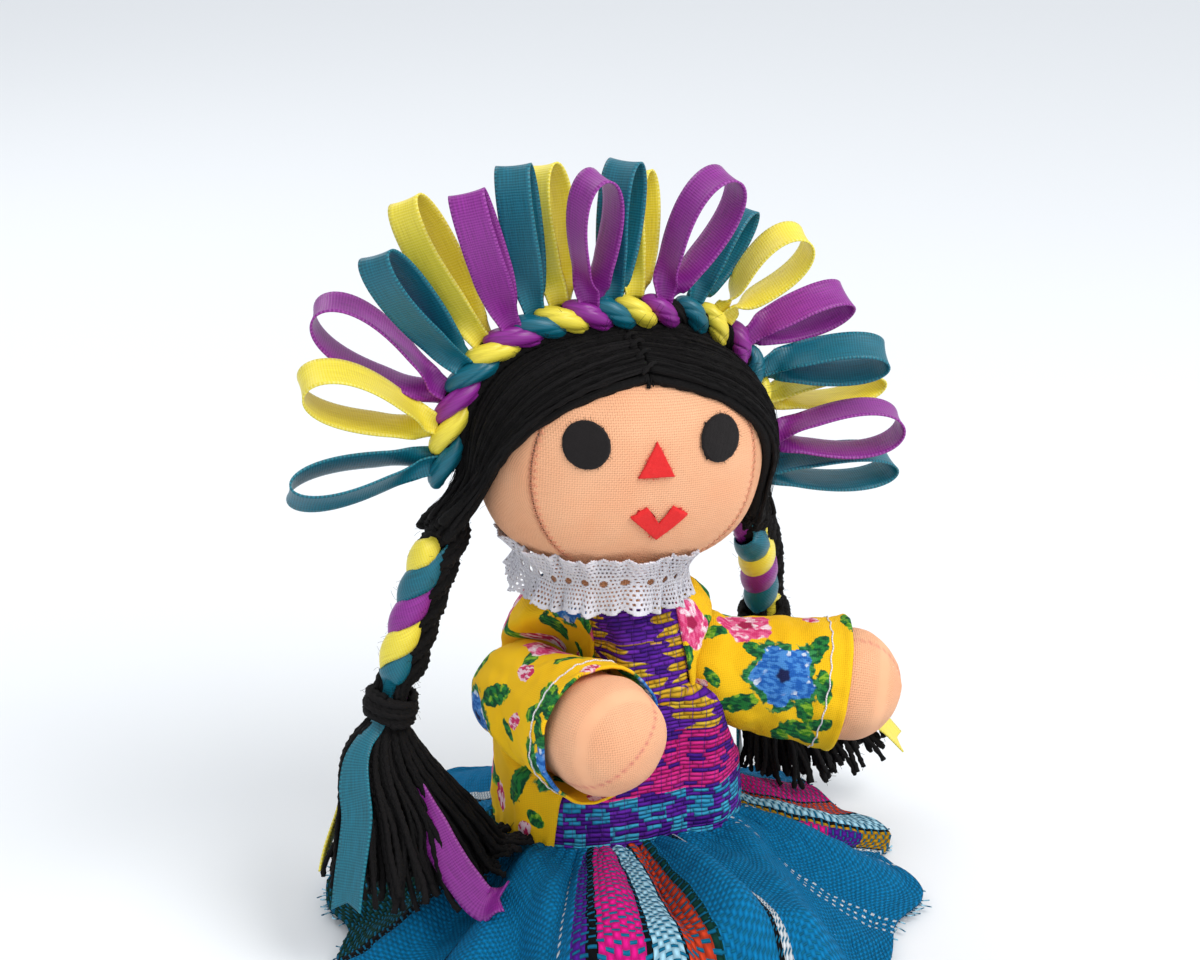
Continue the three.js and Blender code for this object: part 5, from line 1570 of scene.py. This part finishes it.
def sleeve_grid(number, side):
    """A sleeve from its rounded root to its cuff: points, places laid flat and distances along it."""
    origin, aim = SHOULDERS[side], ARM_AIMS[side]
    ahead, across, above = aimed_frame(aim)
    root_turn = np.linspace(-math.radians(SLEEVE_CLOSED), 0, 14)[:-1]
    straight = np.linspace(0, SLEEVE_END, 57)
    distance = np.concatenate([SLEEVE_ROOT * np.sin(root_turn), straight])
    along = np.concatenate([SLEEVE_ROOT * root_turn, straight])[:, None]
    narrowed = np.concatenate([np.cos(root_turn), np.ones_like(straight)])
    radius = ((sleeve_width(np.maximum(distance, 0)) + 0.6) * narrowed)[:, None]
    angle = np.linspace(0, 2 * math.pi, 121)
    circle = on_circle(across, above, angle)
    drape = 0.7 * np.maximum(-np.sin(angle), 0)[None] * ease(distance / 12)[:, None]
    points = origin + ahead * distance[:, None, None] + circle[None] * (radius + drape)[..., None]
    near_root = ease((18 - distance) / 10)[:, None]
    rings = 0.55 * np.sin(distance[:, None] / 2.6 + 1.4 * np.sin(angle)[None] + number) * near_root
    creases = 0.5 * waves(points, 8, 81 + number) + 0.14 * waves(points, 3, 83 + number)
    cuff = 0.32 * bump(distance, SLEEVE_END - 0.7, 1.2)[:, None]
    lift = np.maximum(rings * 0.7 + creases, -0.25) + cuff
    points = points + circle[None] * lift[..., None]
    print_side, print_u, print_v = SLEEVE_PRINT[side]
    flat = [print_u + print_side * angle[None] * SLEEVE_RADIUS, print_v + print_side * along]
    return points, np.stack(np.broadcast_arrays(*flat), axis=-1), distance


def sleeves():
    for number, side in enumerate(("right", "left")):
        points, flat, distance = sleeve_grid(number, side)
        shape = Shape()
        shape.sheet(points[:, :-1], CLOTH_THICK, flat, wrap=True)
        piece = shape.build(f"sleeve_{side}_cloth", FLORAL)
        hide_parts(f"sleeve_{side}")
        start, end = SHOULDERS[side] - ARM_AIMS[side] * 1.0, SHOULDERS[side] + ARM_AIMS[side] * 6
        tuple(start * MM)
        tuple(end * MM)
        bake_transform(piece)
        cuff_stitch(side, points, distance)


def cuff_stitch(side, points, distance):
    """A running stitch in white thread round the cuff, which also holds its hem."""
    ring = points[int(np.searchsorted(distance, SLEEVE_END - 4.2))]
    line = resample(ring, CUFF_STITCHES * 10)
    outward = unit(line - ring[:-1].mean(axis=0))
    shape = Shape()
    for k in range(CUFF_STITCHES):
        part = slice(k * 10, k * 10 + 11)
        arch = np.sin(math.pi * np.linspace(0, 1, len(line[part])))[:, None]
        zigzag = ARM_AIMS[side] * (0.14 * (1 if k % 2 else -1) * arch)
        path = line[part] + outward[part] * (0.02 + 0.16 * arch) + zigzag
        shape.tubes(path[None], 0.15, 6, ply=0.15, pitch=0.8)
    place(shape.build(f"cuff_stitch_{side}", WHITE_THREAD), f"arm_{side}", "white_lace")


# Skirt
SKIRT_COLUMNS, SKIRT_ROWS = 480, 60
# How many mm round the lap's edge the cone runs into it, and where the skirt leaves the waist
LAP_BLEND = 4
WAIST_SHARE = 0.12
GATHERS = 61
FRINGE = {"ends": 330, "radius": 0.16}


def lap_height(x, y):
    """How high the legs hold the skirt: less beside them, beyond the feet and behind the hips."""
    beside = ease((np.abs(x) - 19) / 15)
    beyond = ease((-y - 47) / 13)
    behind = ease((-y - 2) / 10)
    return LAP_HEIGHT * (1 - beside) * (1 - beyond) * behind


def skirt_cone(v):
    """Height of the skirt where no leg holds it up."""
    return mix(SKIRT_THICK + 0.4, SKIRT_TOP, (1 - v) ** 1.7)


def skirt_surface(u, v):
    """The skirt's outside, u round it and v from the waist to the hem: a cone held up by the lap."""
    turn = 2 * math.pi * u
    half_x, half_y = body_size(SKIRT_TOP)
    start_x, start_y = on_outline(turn, half_x + 3 * GAP, half_y + 3 * GAP, BODY_ROUNDNESS)
    front = (1 - np.sin(turn)) / 2
    fold = np.cos(SKIRT_FOLDS * turn) + 0.45 * np.cos((SKIRT_FOLDS + 5) * turn + 1.3)
    hem = mix(SKIRT_BACK, SKIRT_FRONT, front) + HEM_FOLD * fold
    x = mix(start_x, hem * np.cos(turn), v)
    y = mix(start_y, hem * np.sin(turn), v)
    ripple = (RIPPLE_CREST / 2) * (1 + fold / FOLD_CREST) * np.sin(math.pi * np.clip(v, 0, 1)) ** 1.5
    cone = skirt_cone(v)
    lap = lap_height(x, y)
    rise = np.maximum(LAP_BLEND - np.abs(cone - lap), 0) ** 2 / (4 * LAP_BLEND)
    z = mix(SKIRT_TOP, np.maximum(cone, lap) + rise + ripple, ease(v / WAIST_SHARE))
    return np.stack([x, y, z], axis=-1)


# Deeper folds than the cloth's own ripple: place round the waist, half width as a share of the way
# round, and height in mm
DRAPE = [
    (0.560, 0.020, -1.6), (0.615, 0.034, 2.4), (0.668, 0.014, -2.0), (0.703, 0.022, 1.4),
    (0.747, 0.013, -2.0), (0.776, 0.020, 2.8), (0.838, 0.040, -2.2), (0.948, 0.026, 3.0),
    (0.985, 0.016, -1.5), (0.05, 0.03, 2.0), (0.12, 0.03, -1.5), (0.20, 0.03, 2.0),
    (0.30, 0.03, 1.8), (0.38, 0.03, -1.5), (0.45, 0.03, 2.0),
]


def drape(u, v):
    """Height of the deeper folds, which fade towards the waist and the hem."""
    rise = sum(height * bump((u - middle + 0.5) % 1 - 0.5, 0, half) for middle, half, height in DRAPE)
    return 1.3 * rise * np.sin(math.pi * np.clip(v, 0, 0.93)) ** 0.7


def skirt():
    """The skirt's folds and gathers, laid over the legs, with its frayed edge."""
    round_share = np.arange(SKIRT_COLUMNS + 1) / SKIRT_COLUMNS
    u, v = np.meshgrid(round_share, np.linspace(0, 1, SKIRT_ROWS), indexing="xy")
    points = skirt_surface(u, v)
    gathers = 0.5 * np.sin(2 * math.pi * u * GATHERS) * np.exp(-v * 9)
    fine = 0.35 * waves(points, 7, 91) + 0.12 * waves(points, 2.5, 92)
    points[..., 2] += drape(u, v) + gathers + fine * ease(v / 0.1)
    points[..., 2] = np.maximum(points[..., 2], SKIRT_THICK + 0.05)
    points[:, -1] = points[:, 0]
    points = above_pieces(points, ["leg_right_cloth", "leg_left_cloth"], SKIRT_THICK + 0.3)
    flat = np.stack([u * SKIRT_FLAT[0], SKIRT_FLAT[1] * (1 - v)], axis=-1)
    shape = Shape()
    shape.sheet(points[:, :-1], SKIRT_THICK, flat, wrap=True)
    fringe(shape, points)
    piece = place(shape.build("skirt_cloth_gathered", SKIRT_CLOTH), "torso", "skirt_cloth", "skirt")


def above_pieces(points, names, clearance):
    """Points lifted clear of the pieces under them."""
    flat = points.reshape(-1, 3).copy()
    for name in names:
        mesh = bpy.data.objects[name].data
        tree = BVHTree.FromPolygons([Vector(v.co) / MM for v in mesh.vertices],
                                    [tuple(p.vertices) for p in mesh.polygons])
        for point in flat:
            hit = tree.ray_cast(Vector((point[0], point[1], 200)), Vector((0, 0, -1)))[0]
            if hit is not None:
                point[2] = max(point[2], hit.z + clearance)
    return flat.reshape(points.shape)


def fringe(shape, points):
    """Frayed weft ends along the skirt's raw edge."""
    rng = np.random.default_rng(95)
    last, before = points[-1, :-1], points[-3, :-1]
    picks = rng.choice(len(last), FRINGE["ends"])
    outward = unit((last - before) * [1, 1, 0.4])[picks][:, None]
    t = np.linspace(0, 1, 5)[None, :, None]
    reach = rng.uniform(0.5, 1.9, (len(picks), 1, 1))
    bend = rng.normal(0, 0.6, (len(picks), 1, 3)) * [1, 1, 0.3]
    start = last[picks][:, None] - UP * 0.5 - outward * 0.4
    path = start + outward * t * reach + bend * t**2 * reach * 0.6
    path[..., 2] = np.clip(path[..., 2], 0.25, None)
    shape.tubes(path, FRINGE["radius"], 4, tone=rng.uniform(0, 1, len(picks)))


# Braids
TIE = {"outer": 5.3, "height": 5.0, "radius": 4.35, "yarn": 0.68, "yarns": 7, "turns": 2.1, "wound": 0.42}
# Half width of a tassel in the tie, the share of its length over which it bends, and how it opens
TASSEL_NECK, TASSEL_BEND, TASSEL_SPREAD = 2.4, 0.625, 0.75
BRAID_PITCH = 18.0
BRAID_STEPS = 90
TASSELS = {
    "right": {"end": vec(-38, -10, 13), "across": 21.0, "deep": 10.5, "count": 260},
    "left": {"end": vec(50, 15, 12), "across": 16.5, "deep": 8.0, "count": 190},
}
# Where each ribbon lies round the tie, and round the tassel's lower end, in degrees
TIED = {
    "right": {"teal": -40, "yellow": 80, "purple": 200},
    "left": {"teal": 10, "yellow": 250, "purple": 130},
}
HUNG = {
    "right": {"teal": -35, "yellow": 25, "purple": 250},
    "left": {"teal": 30, "yellow": 200, "purple": 110},
}
TAIL_REACH = {"teal": 1.06, "yellow": 1.02, "purple": 1.04}
TAIL_SHARES = [0.08, 0.16, 0.26, 0.38, 0.52, 0.66, 0.83, 1.0]
TAIL_CLEARANCE = 1.8
LAID_CLEARANCE = 0.8
BRAID_FACES = {"right": unit(vec(-0.8, -0.6, 0)), "left": unit(vec(-0.55, -0.85, 0))}
# The share of the braid over which it winds, before it is drawn into the tie
BRAID_SETTLE = 0.82
# Where and over what share of the braid its paths draw together, and the radius they end on
GATHER_FROM, GATHER_SHARE, GATHERED_RADIUS = BRAID_SETTLE - 0.06, 0.14, 2.6
BRAID_THINNING = 0.86
# Radii of the wound paths, how far ribbons stand off on the side that is seen, and their width there
RIBBON_HELIX = {"right": 3.0, "left": 3.4}
RIBBON_STAND = {"right": 1.5, "left": 2.2}
WOUND_WIDTH = {"right": 5.0, "left": 6.1}
YARN_HELIX = 2.1
# A lock of yarn: strands round a middle one, and its radius on the braid and in the tie
STRANDS = 6
LOCK_RADIUS, LOCK_TIED = 2.25, 1.3
LOOSE_ENDS = 200
GOLDEN_ANGLE = 2.39996
TAIL_ROUTES = {
    ("right", "purple"): [vec(-41.5, -1, 38), vec(-40, -7, 31), vec(-38, -13.5, 25), vec(-35.5, -18, 19.5),
                          vec(-32, -21.5, 15), vec(-28.5, -25, 11.5)],
}


def braid_frame(route, count):
    """Points along a braid, and at each the directions ahead, to one side and square to both."""
    centre = spline(route, count)
    ahead = unit(np.gradient(centre, axis=0))
    across = unit(np.cross(vec(0, 1, 0), ahead))
    return centre, ahead, across, np.cross(ahead, across)


def braid_helix(side, turn_at_tie, radius, shift):
    """A path that winds down the braid, set off from its middle towards the side that is seen."""
    centre, ahead, across, above = braid_frame(BRAID_ROUTES[side], BRAID_STEPS)
    reach = lengths(centre)
    share = reach / reach[-1]
    wound = np.minimum(share / BRAID_SETTLE, 1)
    turn = turn_at_tie - 2 * math.pi * (1 - wound) * reach[-1] * BRAID_SETTLE / BRAID_PITCH
    outward = on_circle(across, above, turn)
    face = BRAID_FACES[side] - (ahead @ BRAID_FACES[side])[:, None] * ahead
    gather = ease((share - GATHER_FROM) / GATHER_SHARE)[:, None]
    thin = mix(1.0, BRAID_THINNING, share)[:, None]
    offset = face * shift * (1 - gather) + outward * mix(radius * thin, GATHERED_RADIUS, gather)
    return centre + offset, outward, share, gather[:, 0]


def braids():
    """Each braid is three locks of yarn and three ribbons, held by a tie above a tassel."""
    for side in ("right", "left"):
        rng = np.random.default_rng(400 if side == "right" else 420)
        yarn = Shape()
        for shade in COLOURS:
            turn = math.radians(TIED[side][shade] + 60)
            path, outward, share, gather = braid_helix(side, turn, YARN_HELIX, -1.6)
            first = unit(np.cross(unit(np.gradient(path, axis=0)), outward))
            thick = mix(LOCK_RADIUS, LOCK_TIED, gather) * mix(1.0, 0.9, share)
            for strand in range(STRANDS + 1):
                angle = 2 * math.pi * strand / STRANDS + 5 * share
                set_off = on_circle(first, outward, angle) * (thick * 0.66)[:, None]
                line = path + set_off if strand < STRANDS else path
                yarn.tubes(line[None], (thick * 0.46)[None], 8, tone=rng.uniform(0, 1), ply=0.2, pitch=2.6)
        fuzz(yarn, BRAID_ROUTES[side], 4.6, 260, rng)
        place(yarn.build(f"braid_{side}_yarn", BLACK_YARN), f"braid_{side}", "black_yarn", f"braid_{side}")
        tie(side, rng)
        tassel(side, rng)
        for shade in COLOURS:
            braid_ribbon(side, shade)


def fuzz(shape, route, radius, count, rng):
    """Short loose fibres round a route."""
    line = spline(route, 60)
    feet = line[rng.integers(0, 60, count)]
    way = unit(rng.normal(size=(count, 3)))
    curl = unit(np.cross(way, rng.normal(size=(count, 3))))
    t = np.linspace(0, 1, 7)[None, :, None]
    reach = rng.uniform(0.6, 2.4, (count, 1, 1))
    path = feet[:, None] + way[:, None] * (radius * 0.8 + t * reach * 0.6) + curl[:, None] * t**2 * reach
    shape.tubes(path, LOOSE_FIBRE, 3, tone=0.8)


def tie(side, rng):
    """Yarn wound round the braid's end, its turns crossing each other."""
    centre, ahead, across, above = (a[-1] for a in braid_frame(BRAID_ROUTES[side], 40))
    half = TIE["height"] * TIE["wound"]
    shape = Shape()
    for _ in range(TIE["yarns"]):
        angle = np.linspace(0, 2 * math.pi * TIE["turns"], 90) + rng.uniform(0, 6)
        height = np.linspace(-half, half, 90) * rng.choice([-1, 1]) + rng.normal(0, 0.25)
        height = height + 0.35 * np.sin(angle + rng.uniform(0, 6))
        radius = TIE["radius"] + 0.5 * rng.uniform(-1, 1)
        radius = radius - 0.25 * (height / 2.4) ** 2 + 0.15 * np.sin(3 * angle)
        path = centre + ahead * height[:, None] + on_circle(across, above, angle) * radius[:, None]
        shape.tubes(path[None], TIE["yarn"], 8, tone=rng.uniform(0, 1), ply=0.2)
    fuzz(shape, [centre - ahead * 2, centre, centre + ahead * 2], TIE["outer"], 120, rng)
    name = f"braid_tie_{side}"
    place(shape.build(name + "_yarn", BLACK_YARN), f"braid_{side}", "black_yarn", name)


def tassel_section(side, s):
    """The tassel's middle at shares of its length, its two cross directions and its half widths."""
    centre, ahead, across, above = (a[-1] for a in braid_frame(BRAID_ROUTES[side], 40))
    shape = TASSELS[side]
    start = centre + ahead * GAP
    below = TIE["height"] / 2
    length = np.linalg.norm(shape["end"] - start)
    s = np.asarray(s, float)
    straight = start + ahead * (s * length)[..., None]
    aimed = start + (shape["end"] - start) * s[..., None]
    middle = mix(straight, aimed, ease(s / TASSEL_BEND)[..., None])
    opened = np.clip((s * length - below) / (length - below), 0, 1.2) ** TASSEL_SPREAD
    half_across, half_deep = (mix(TASSEL_NECK, shape[way], opened) for way in ("across", "deep"))
    return middle, across, above, half_across, half_deep


# The line the head turns on, and the turns in degrees at which tassels and tails are laid over the skirt
HEAD_PIVOT = vec(0, 0, NECK_HEIGHT)
HEAD_AXIS = unit(vec(0.0698, 0, 0.9976))
HEAD_TURNS = (-12, -6, 6, 12)
TURNED_CLEARANCE = 0.5


def above_skirt(points, clearance):
    """Points lifted over the skirt, also while the head turns, and off the ground beyond it."""
    lifted = above_pieces(points, ["skirt_cloth_gathered"], clearance)
    for angle in HEAD_TURNS:
        moved = HEAD_PIVOT + turned(lifted - HEAD_PIVOT, HEAD_AXIS, math.radians(angle))
        cleared = above_pieces(moved, ["skirt_cloth_gathered"], TURNED_CLEARANCE)
        lifted[..., 2] += np.maximum(cleared[..., 2] - moved[..., 2], 0)
    lifted[..., 2] = np.maximum(lifted[..., 2], clearance + 1.0)
    return lifted


def tassel(side, rng):
    """The loose yarn below the tie, fanned out over the skirt."""
    count = TASSELS[side]["count"]
    s = np.linspace(0.0, 1.0, 44)
    paths = []
    for k in range(count):
        ring = math.sqrt((k + 0.5) / count)
        around = k * GOLDEN_ANGLE + rng.normal(0, 0.2)
        middle, across, above, half_across, half_deep = tassel_section(side, s * rng.uniform(0.86, 1.05))
        wander = 0.06 * np.sin(s * rng.uniform(3, 11) + rng.uniform(0, 6)) * s
        path = middle + across * (half_across * (ring * math.cos(around) + wander))[:, None]
        paths.append(path + above * (half_deep * (ring * math.sin(around) + wander))[:, None])
    paths = above_skirt(np.array(paths), 1.6)
    for _ in range(6):
        eased = (paths[:, :-2, 2] + paths[:, 1:-1, 2] + paths[:, 2:, 2]) / 3
        paths[:, 1:-1, 2] = np.maximum(eased, paths[:, 1:-1, 2] - 0.05)
    shape = Shape()
    thick = rng.uniform(0.42, 0.6, count)[:, None] * np.ones(len(s))
    thick[:, -3:] *= [1.0, 1.1, 1.05]
    shape.tubes(paths, thick, 8, tone=rng.uniform(0, 1, count), ply=0.24, pitch=2.7)
    ends = paths[rng.integers(0, count, LOOSE_ENDS), -1]
    way = unit(rng.normal(size=(LOOSE_ENDS, 3)) + [0, 0, -0.4])
    t = np.linspace(0, 1, 5)[None, :, None]
    loose = ends[:, None] + way[:, None] * t * rng.uniform(0.6, 2.0, (LOOSE_ENDS, 1, 1))
    loose[..., 2] = np.maximum(loose[..., 2], 0.3)
    shape.tubes(loose, 0.05, 3, tone=0.8)
    place(shape.build(f"tassel_{side}_yarn", BLACK_YARN), f"braid_{side}", "black_yarn", f"tassel_{side}")


def ribbon_tail(side, shade):
    """Where a ribbon's loose end hangs: places and the directions of its width."""
    s = np.array(TAIL_SHARES)
    if (side, shade) in TAIL_ROUTES:
        tail = spline(TAIL_ROUTES[side, shade], len(s))
        ahead = unit(np.gradient(tail, axis=0))
        return above_skirt(tail, LAID_CLEARANCE), unit(np.cross(ahead, BRAID_FACES[side] + UP * 0.8))
    turn = mix(math.radians(TIED[side][shade]), math.radians(HUNG[side][shade]), ease(s))
    middle, side_way, above, half_across, half_deep = tassel_section(side, s * TAIL_REACH[shade])
    lay = 0.8 + 0.5 * ease(s * 4)
    tail = middle + side_way * ((half_across + lay) * np.cos(turn))[:, None]
    tail = tail + above * ((half_deep + lay) * np.sin(turn))[:, None]
    return above_skirt(tail, TAIL_CLEARANCE), side_way * np.sin(turn)[:, None] - above * np.cos(turn)[:, None]


def braid_ribbon(side, shade):
    """One ribbon: wound down the braid, through the tie and down over the tassel to a notched end."""
    turn = math.radians(TIED[side][shade])
    path, outward, share, gather = braid_helix(side, turn, RIBBON_HELIX[side], 1.1)
    begun = ease((share - 0.02) / 0.12)
    stand = RIBBON_STAND[side] * (1 - gather) * np.maximum(outward @ BRAID_FACES[side], 0) * begun
    path = path + outward * (stand - 2.0 * (1 - begun))[:, None]
    keep = share > 0.02
    wound, outward = path[keep], outward[keep]
    across = unit(np.cross(unit(np.gradient(wound, axis=0)), outward))
    tail, tail_across = ribbon_tail(side, shade)
    if across[-1] @ tail_across[0] < 0:
        tail_across = -tail_across
    gathered, started = gather[keep][::3], mix(0.5, 1.0, begun[keep][::3])
    opened = ease(np.linspace(0, 2, len(tail)))
    line = np.vstack([wound[::3], tail])
    ways = np.vstack([across[::3], tail_across])
    widths = np.concatenate([mix(WOUND_WIDTH[side], 3.0, gathered) * started, mix(3.2, RIBBON_WIDTH, opened)])
    cups = np.concatenate([mix(-0.9, -0.8, gathered), mix(-0.6, 0.3, opened)])
    reach = lengths(line)
    route = spline(line, 220)
    ways, widths, cups = (evenly(reach, values, len(route)) for values in (ways, widths, cups))
    shape = Shape()
    add_ribbon(shape, route, ways, widths, cups, notch=1.6)
    node = f"braid_ribbon_{shade}_{side}"
    place(shape.build(node + "_satin", SATIN[shade]), f"braid_{side}", "satin_" + shade, node)


# Stage
CAMERA = {"azimuth": -19.0, "elevation": 21.0, "distance": 436.0, "target": vec(1.7, 0, 90),
          "lens": 72.0, "sensor": 36, "shift": (-20 / 1200, -28 / 1200)}
FLOOR_RADIUS = 6000
FLOOR_HEIGHT = -0.05
DAYLIGHT = (0.95, 0.97, 1.0)
DAYLIGHT_STRENGTH = 0.9
BACKDROP = (0.71, 0.725, 0.76)
LAMP_SIZE = 420
# Each lamp's name, place, target, power and tint
LAMPS = [
    ("key", (330, -400, 680), (0, 0, 60), 3.7, (1.0, 0.985, 0.96)),
    ("rim", (-200, 520, 520), (0, 0, 70), 0.8, (1, 1, 1)),
]


def camera():
    data = bpy.data.cameras.new("camera")
    data.lens = CAMERA["lens"]
    data.sensor_width = CAMERA["sensor"]
    data.shift_x, data.shift_y = CAMERA["shift"]
    data.clip_start = 0.01
    view = bpy.data.objects.new("camera", data)
    bpy.context.scene.collection.objects.link(view)
    a, e = math.radians(CAMERA["azimuth"]), math.radians(CAMERA["elevation"])
    back = vec(math.sin(a) * math.cos(e), -math.cos(a) * math.cos(e), math.sin(e))
    view.location = (CAMERA["target"] + back * CAMERA["distance"]) * MM
    view.rotation_euler = Vector(back).to_track_quat("Z", "Y").to_euler()
    bpy.context.scene.camera = view


def floor():
    """A wide, plain, pale floor, a hair's breadth below the seat."""
    spread = disc(9) * FLOOR_RADIUS
    points = np.concatenate([spread, np.full((9, 9, 1), FLOOR_HEIGHT)], axis=-1)
    shape = Shape()
    shape.sheet(points[:, ::-1], 1.0, np.zeros((9, 9, 2)))
    shape.build("floor", floor_finish(), smooth=False)


def area_light(name, place_mm, target, power, tint):
    data = bpy.data.lights.new(name, "AREA")
    data.shape = "DISK"
    data.size = LAMP_SIZE * MM
    data.energy = power
    data.color = tint
    lamp = bpy.data.objects.new(name, data)
    bpy.context.scene.collection.objects.link(lamp)
    lamp.location = np.array(place_mm) * MM
    lamp.rotation_euler = Vector(np.array(place_mm) - np.array(target)).to_track_quat("Z", "Y").to_euler()


def lights():
    """Soft daylight from all round, a lamp in front above the doll's left and a weak one behind."""
    world = bpy.data.worlds.new("world")
    world.use_nodes = True
    bpy.context.scene.world = world
    tree = world.node_tree
    glow, seen = tree.nodes["Background"], tree.nodes.new("ShaderNodeBackground")
    glow.inputs["Color"].default_value = (*DAYLIGHT, 1)
    glow.inputs["Strength"].default_value = DAYLIGHT_STRENGTH
    seen.inputs["Color"].default_value = (*BACKDROP, 1)
    rays = tree.nodes.new("ShaderNodeLightPath")
    choice = tree.nodes.new("ShaderNodeMixShader")
    sources = rays.outputs["Is Camera Ray"], glow.outputs[0], seen.outputs[0]
    for socket, source in zip(choice.inputs, sources):
        tree.links.new(source, socket)
    tree.links.new(choice.outputs[0], tree.nodes["World Output"].inputs["Surface"])
    for lamp in LAMPS:
        area_light(*lamp)


head_panels()
head_seam()
face_features()
hair()
parting_stitch()
crown()
lace_collar()
torso()
arms()
legs()
bodice()
blouse()
sleeves()
skirt()
braids()

floor()
camera()
lights()
bpy.context.scene.view_settings.view_transform = "Standard"
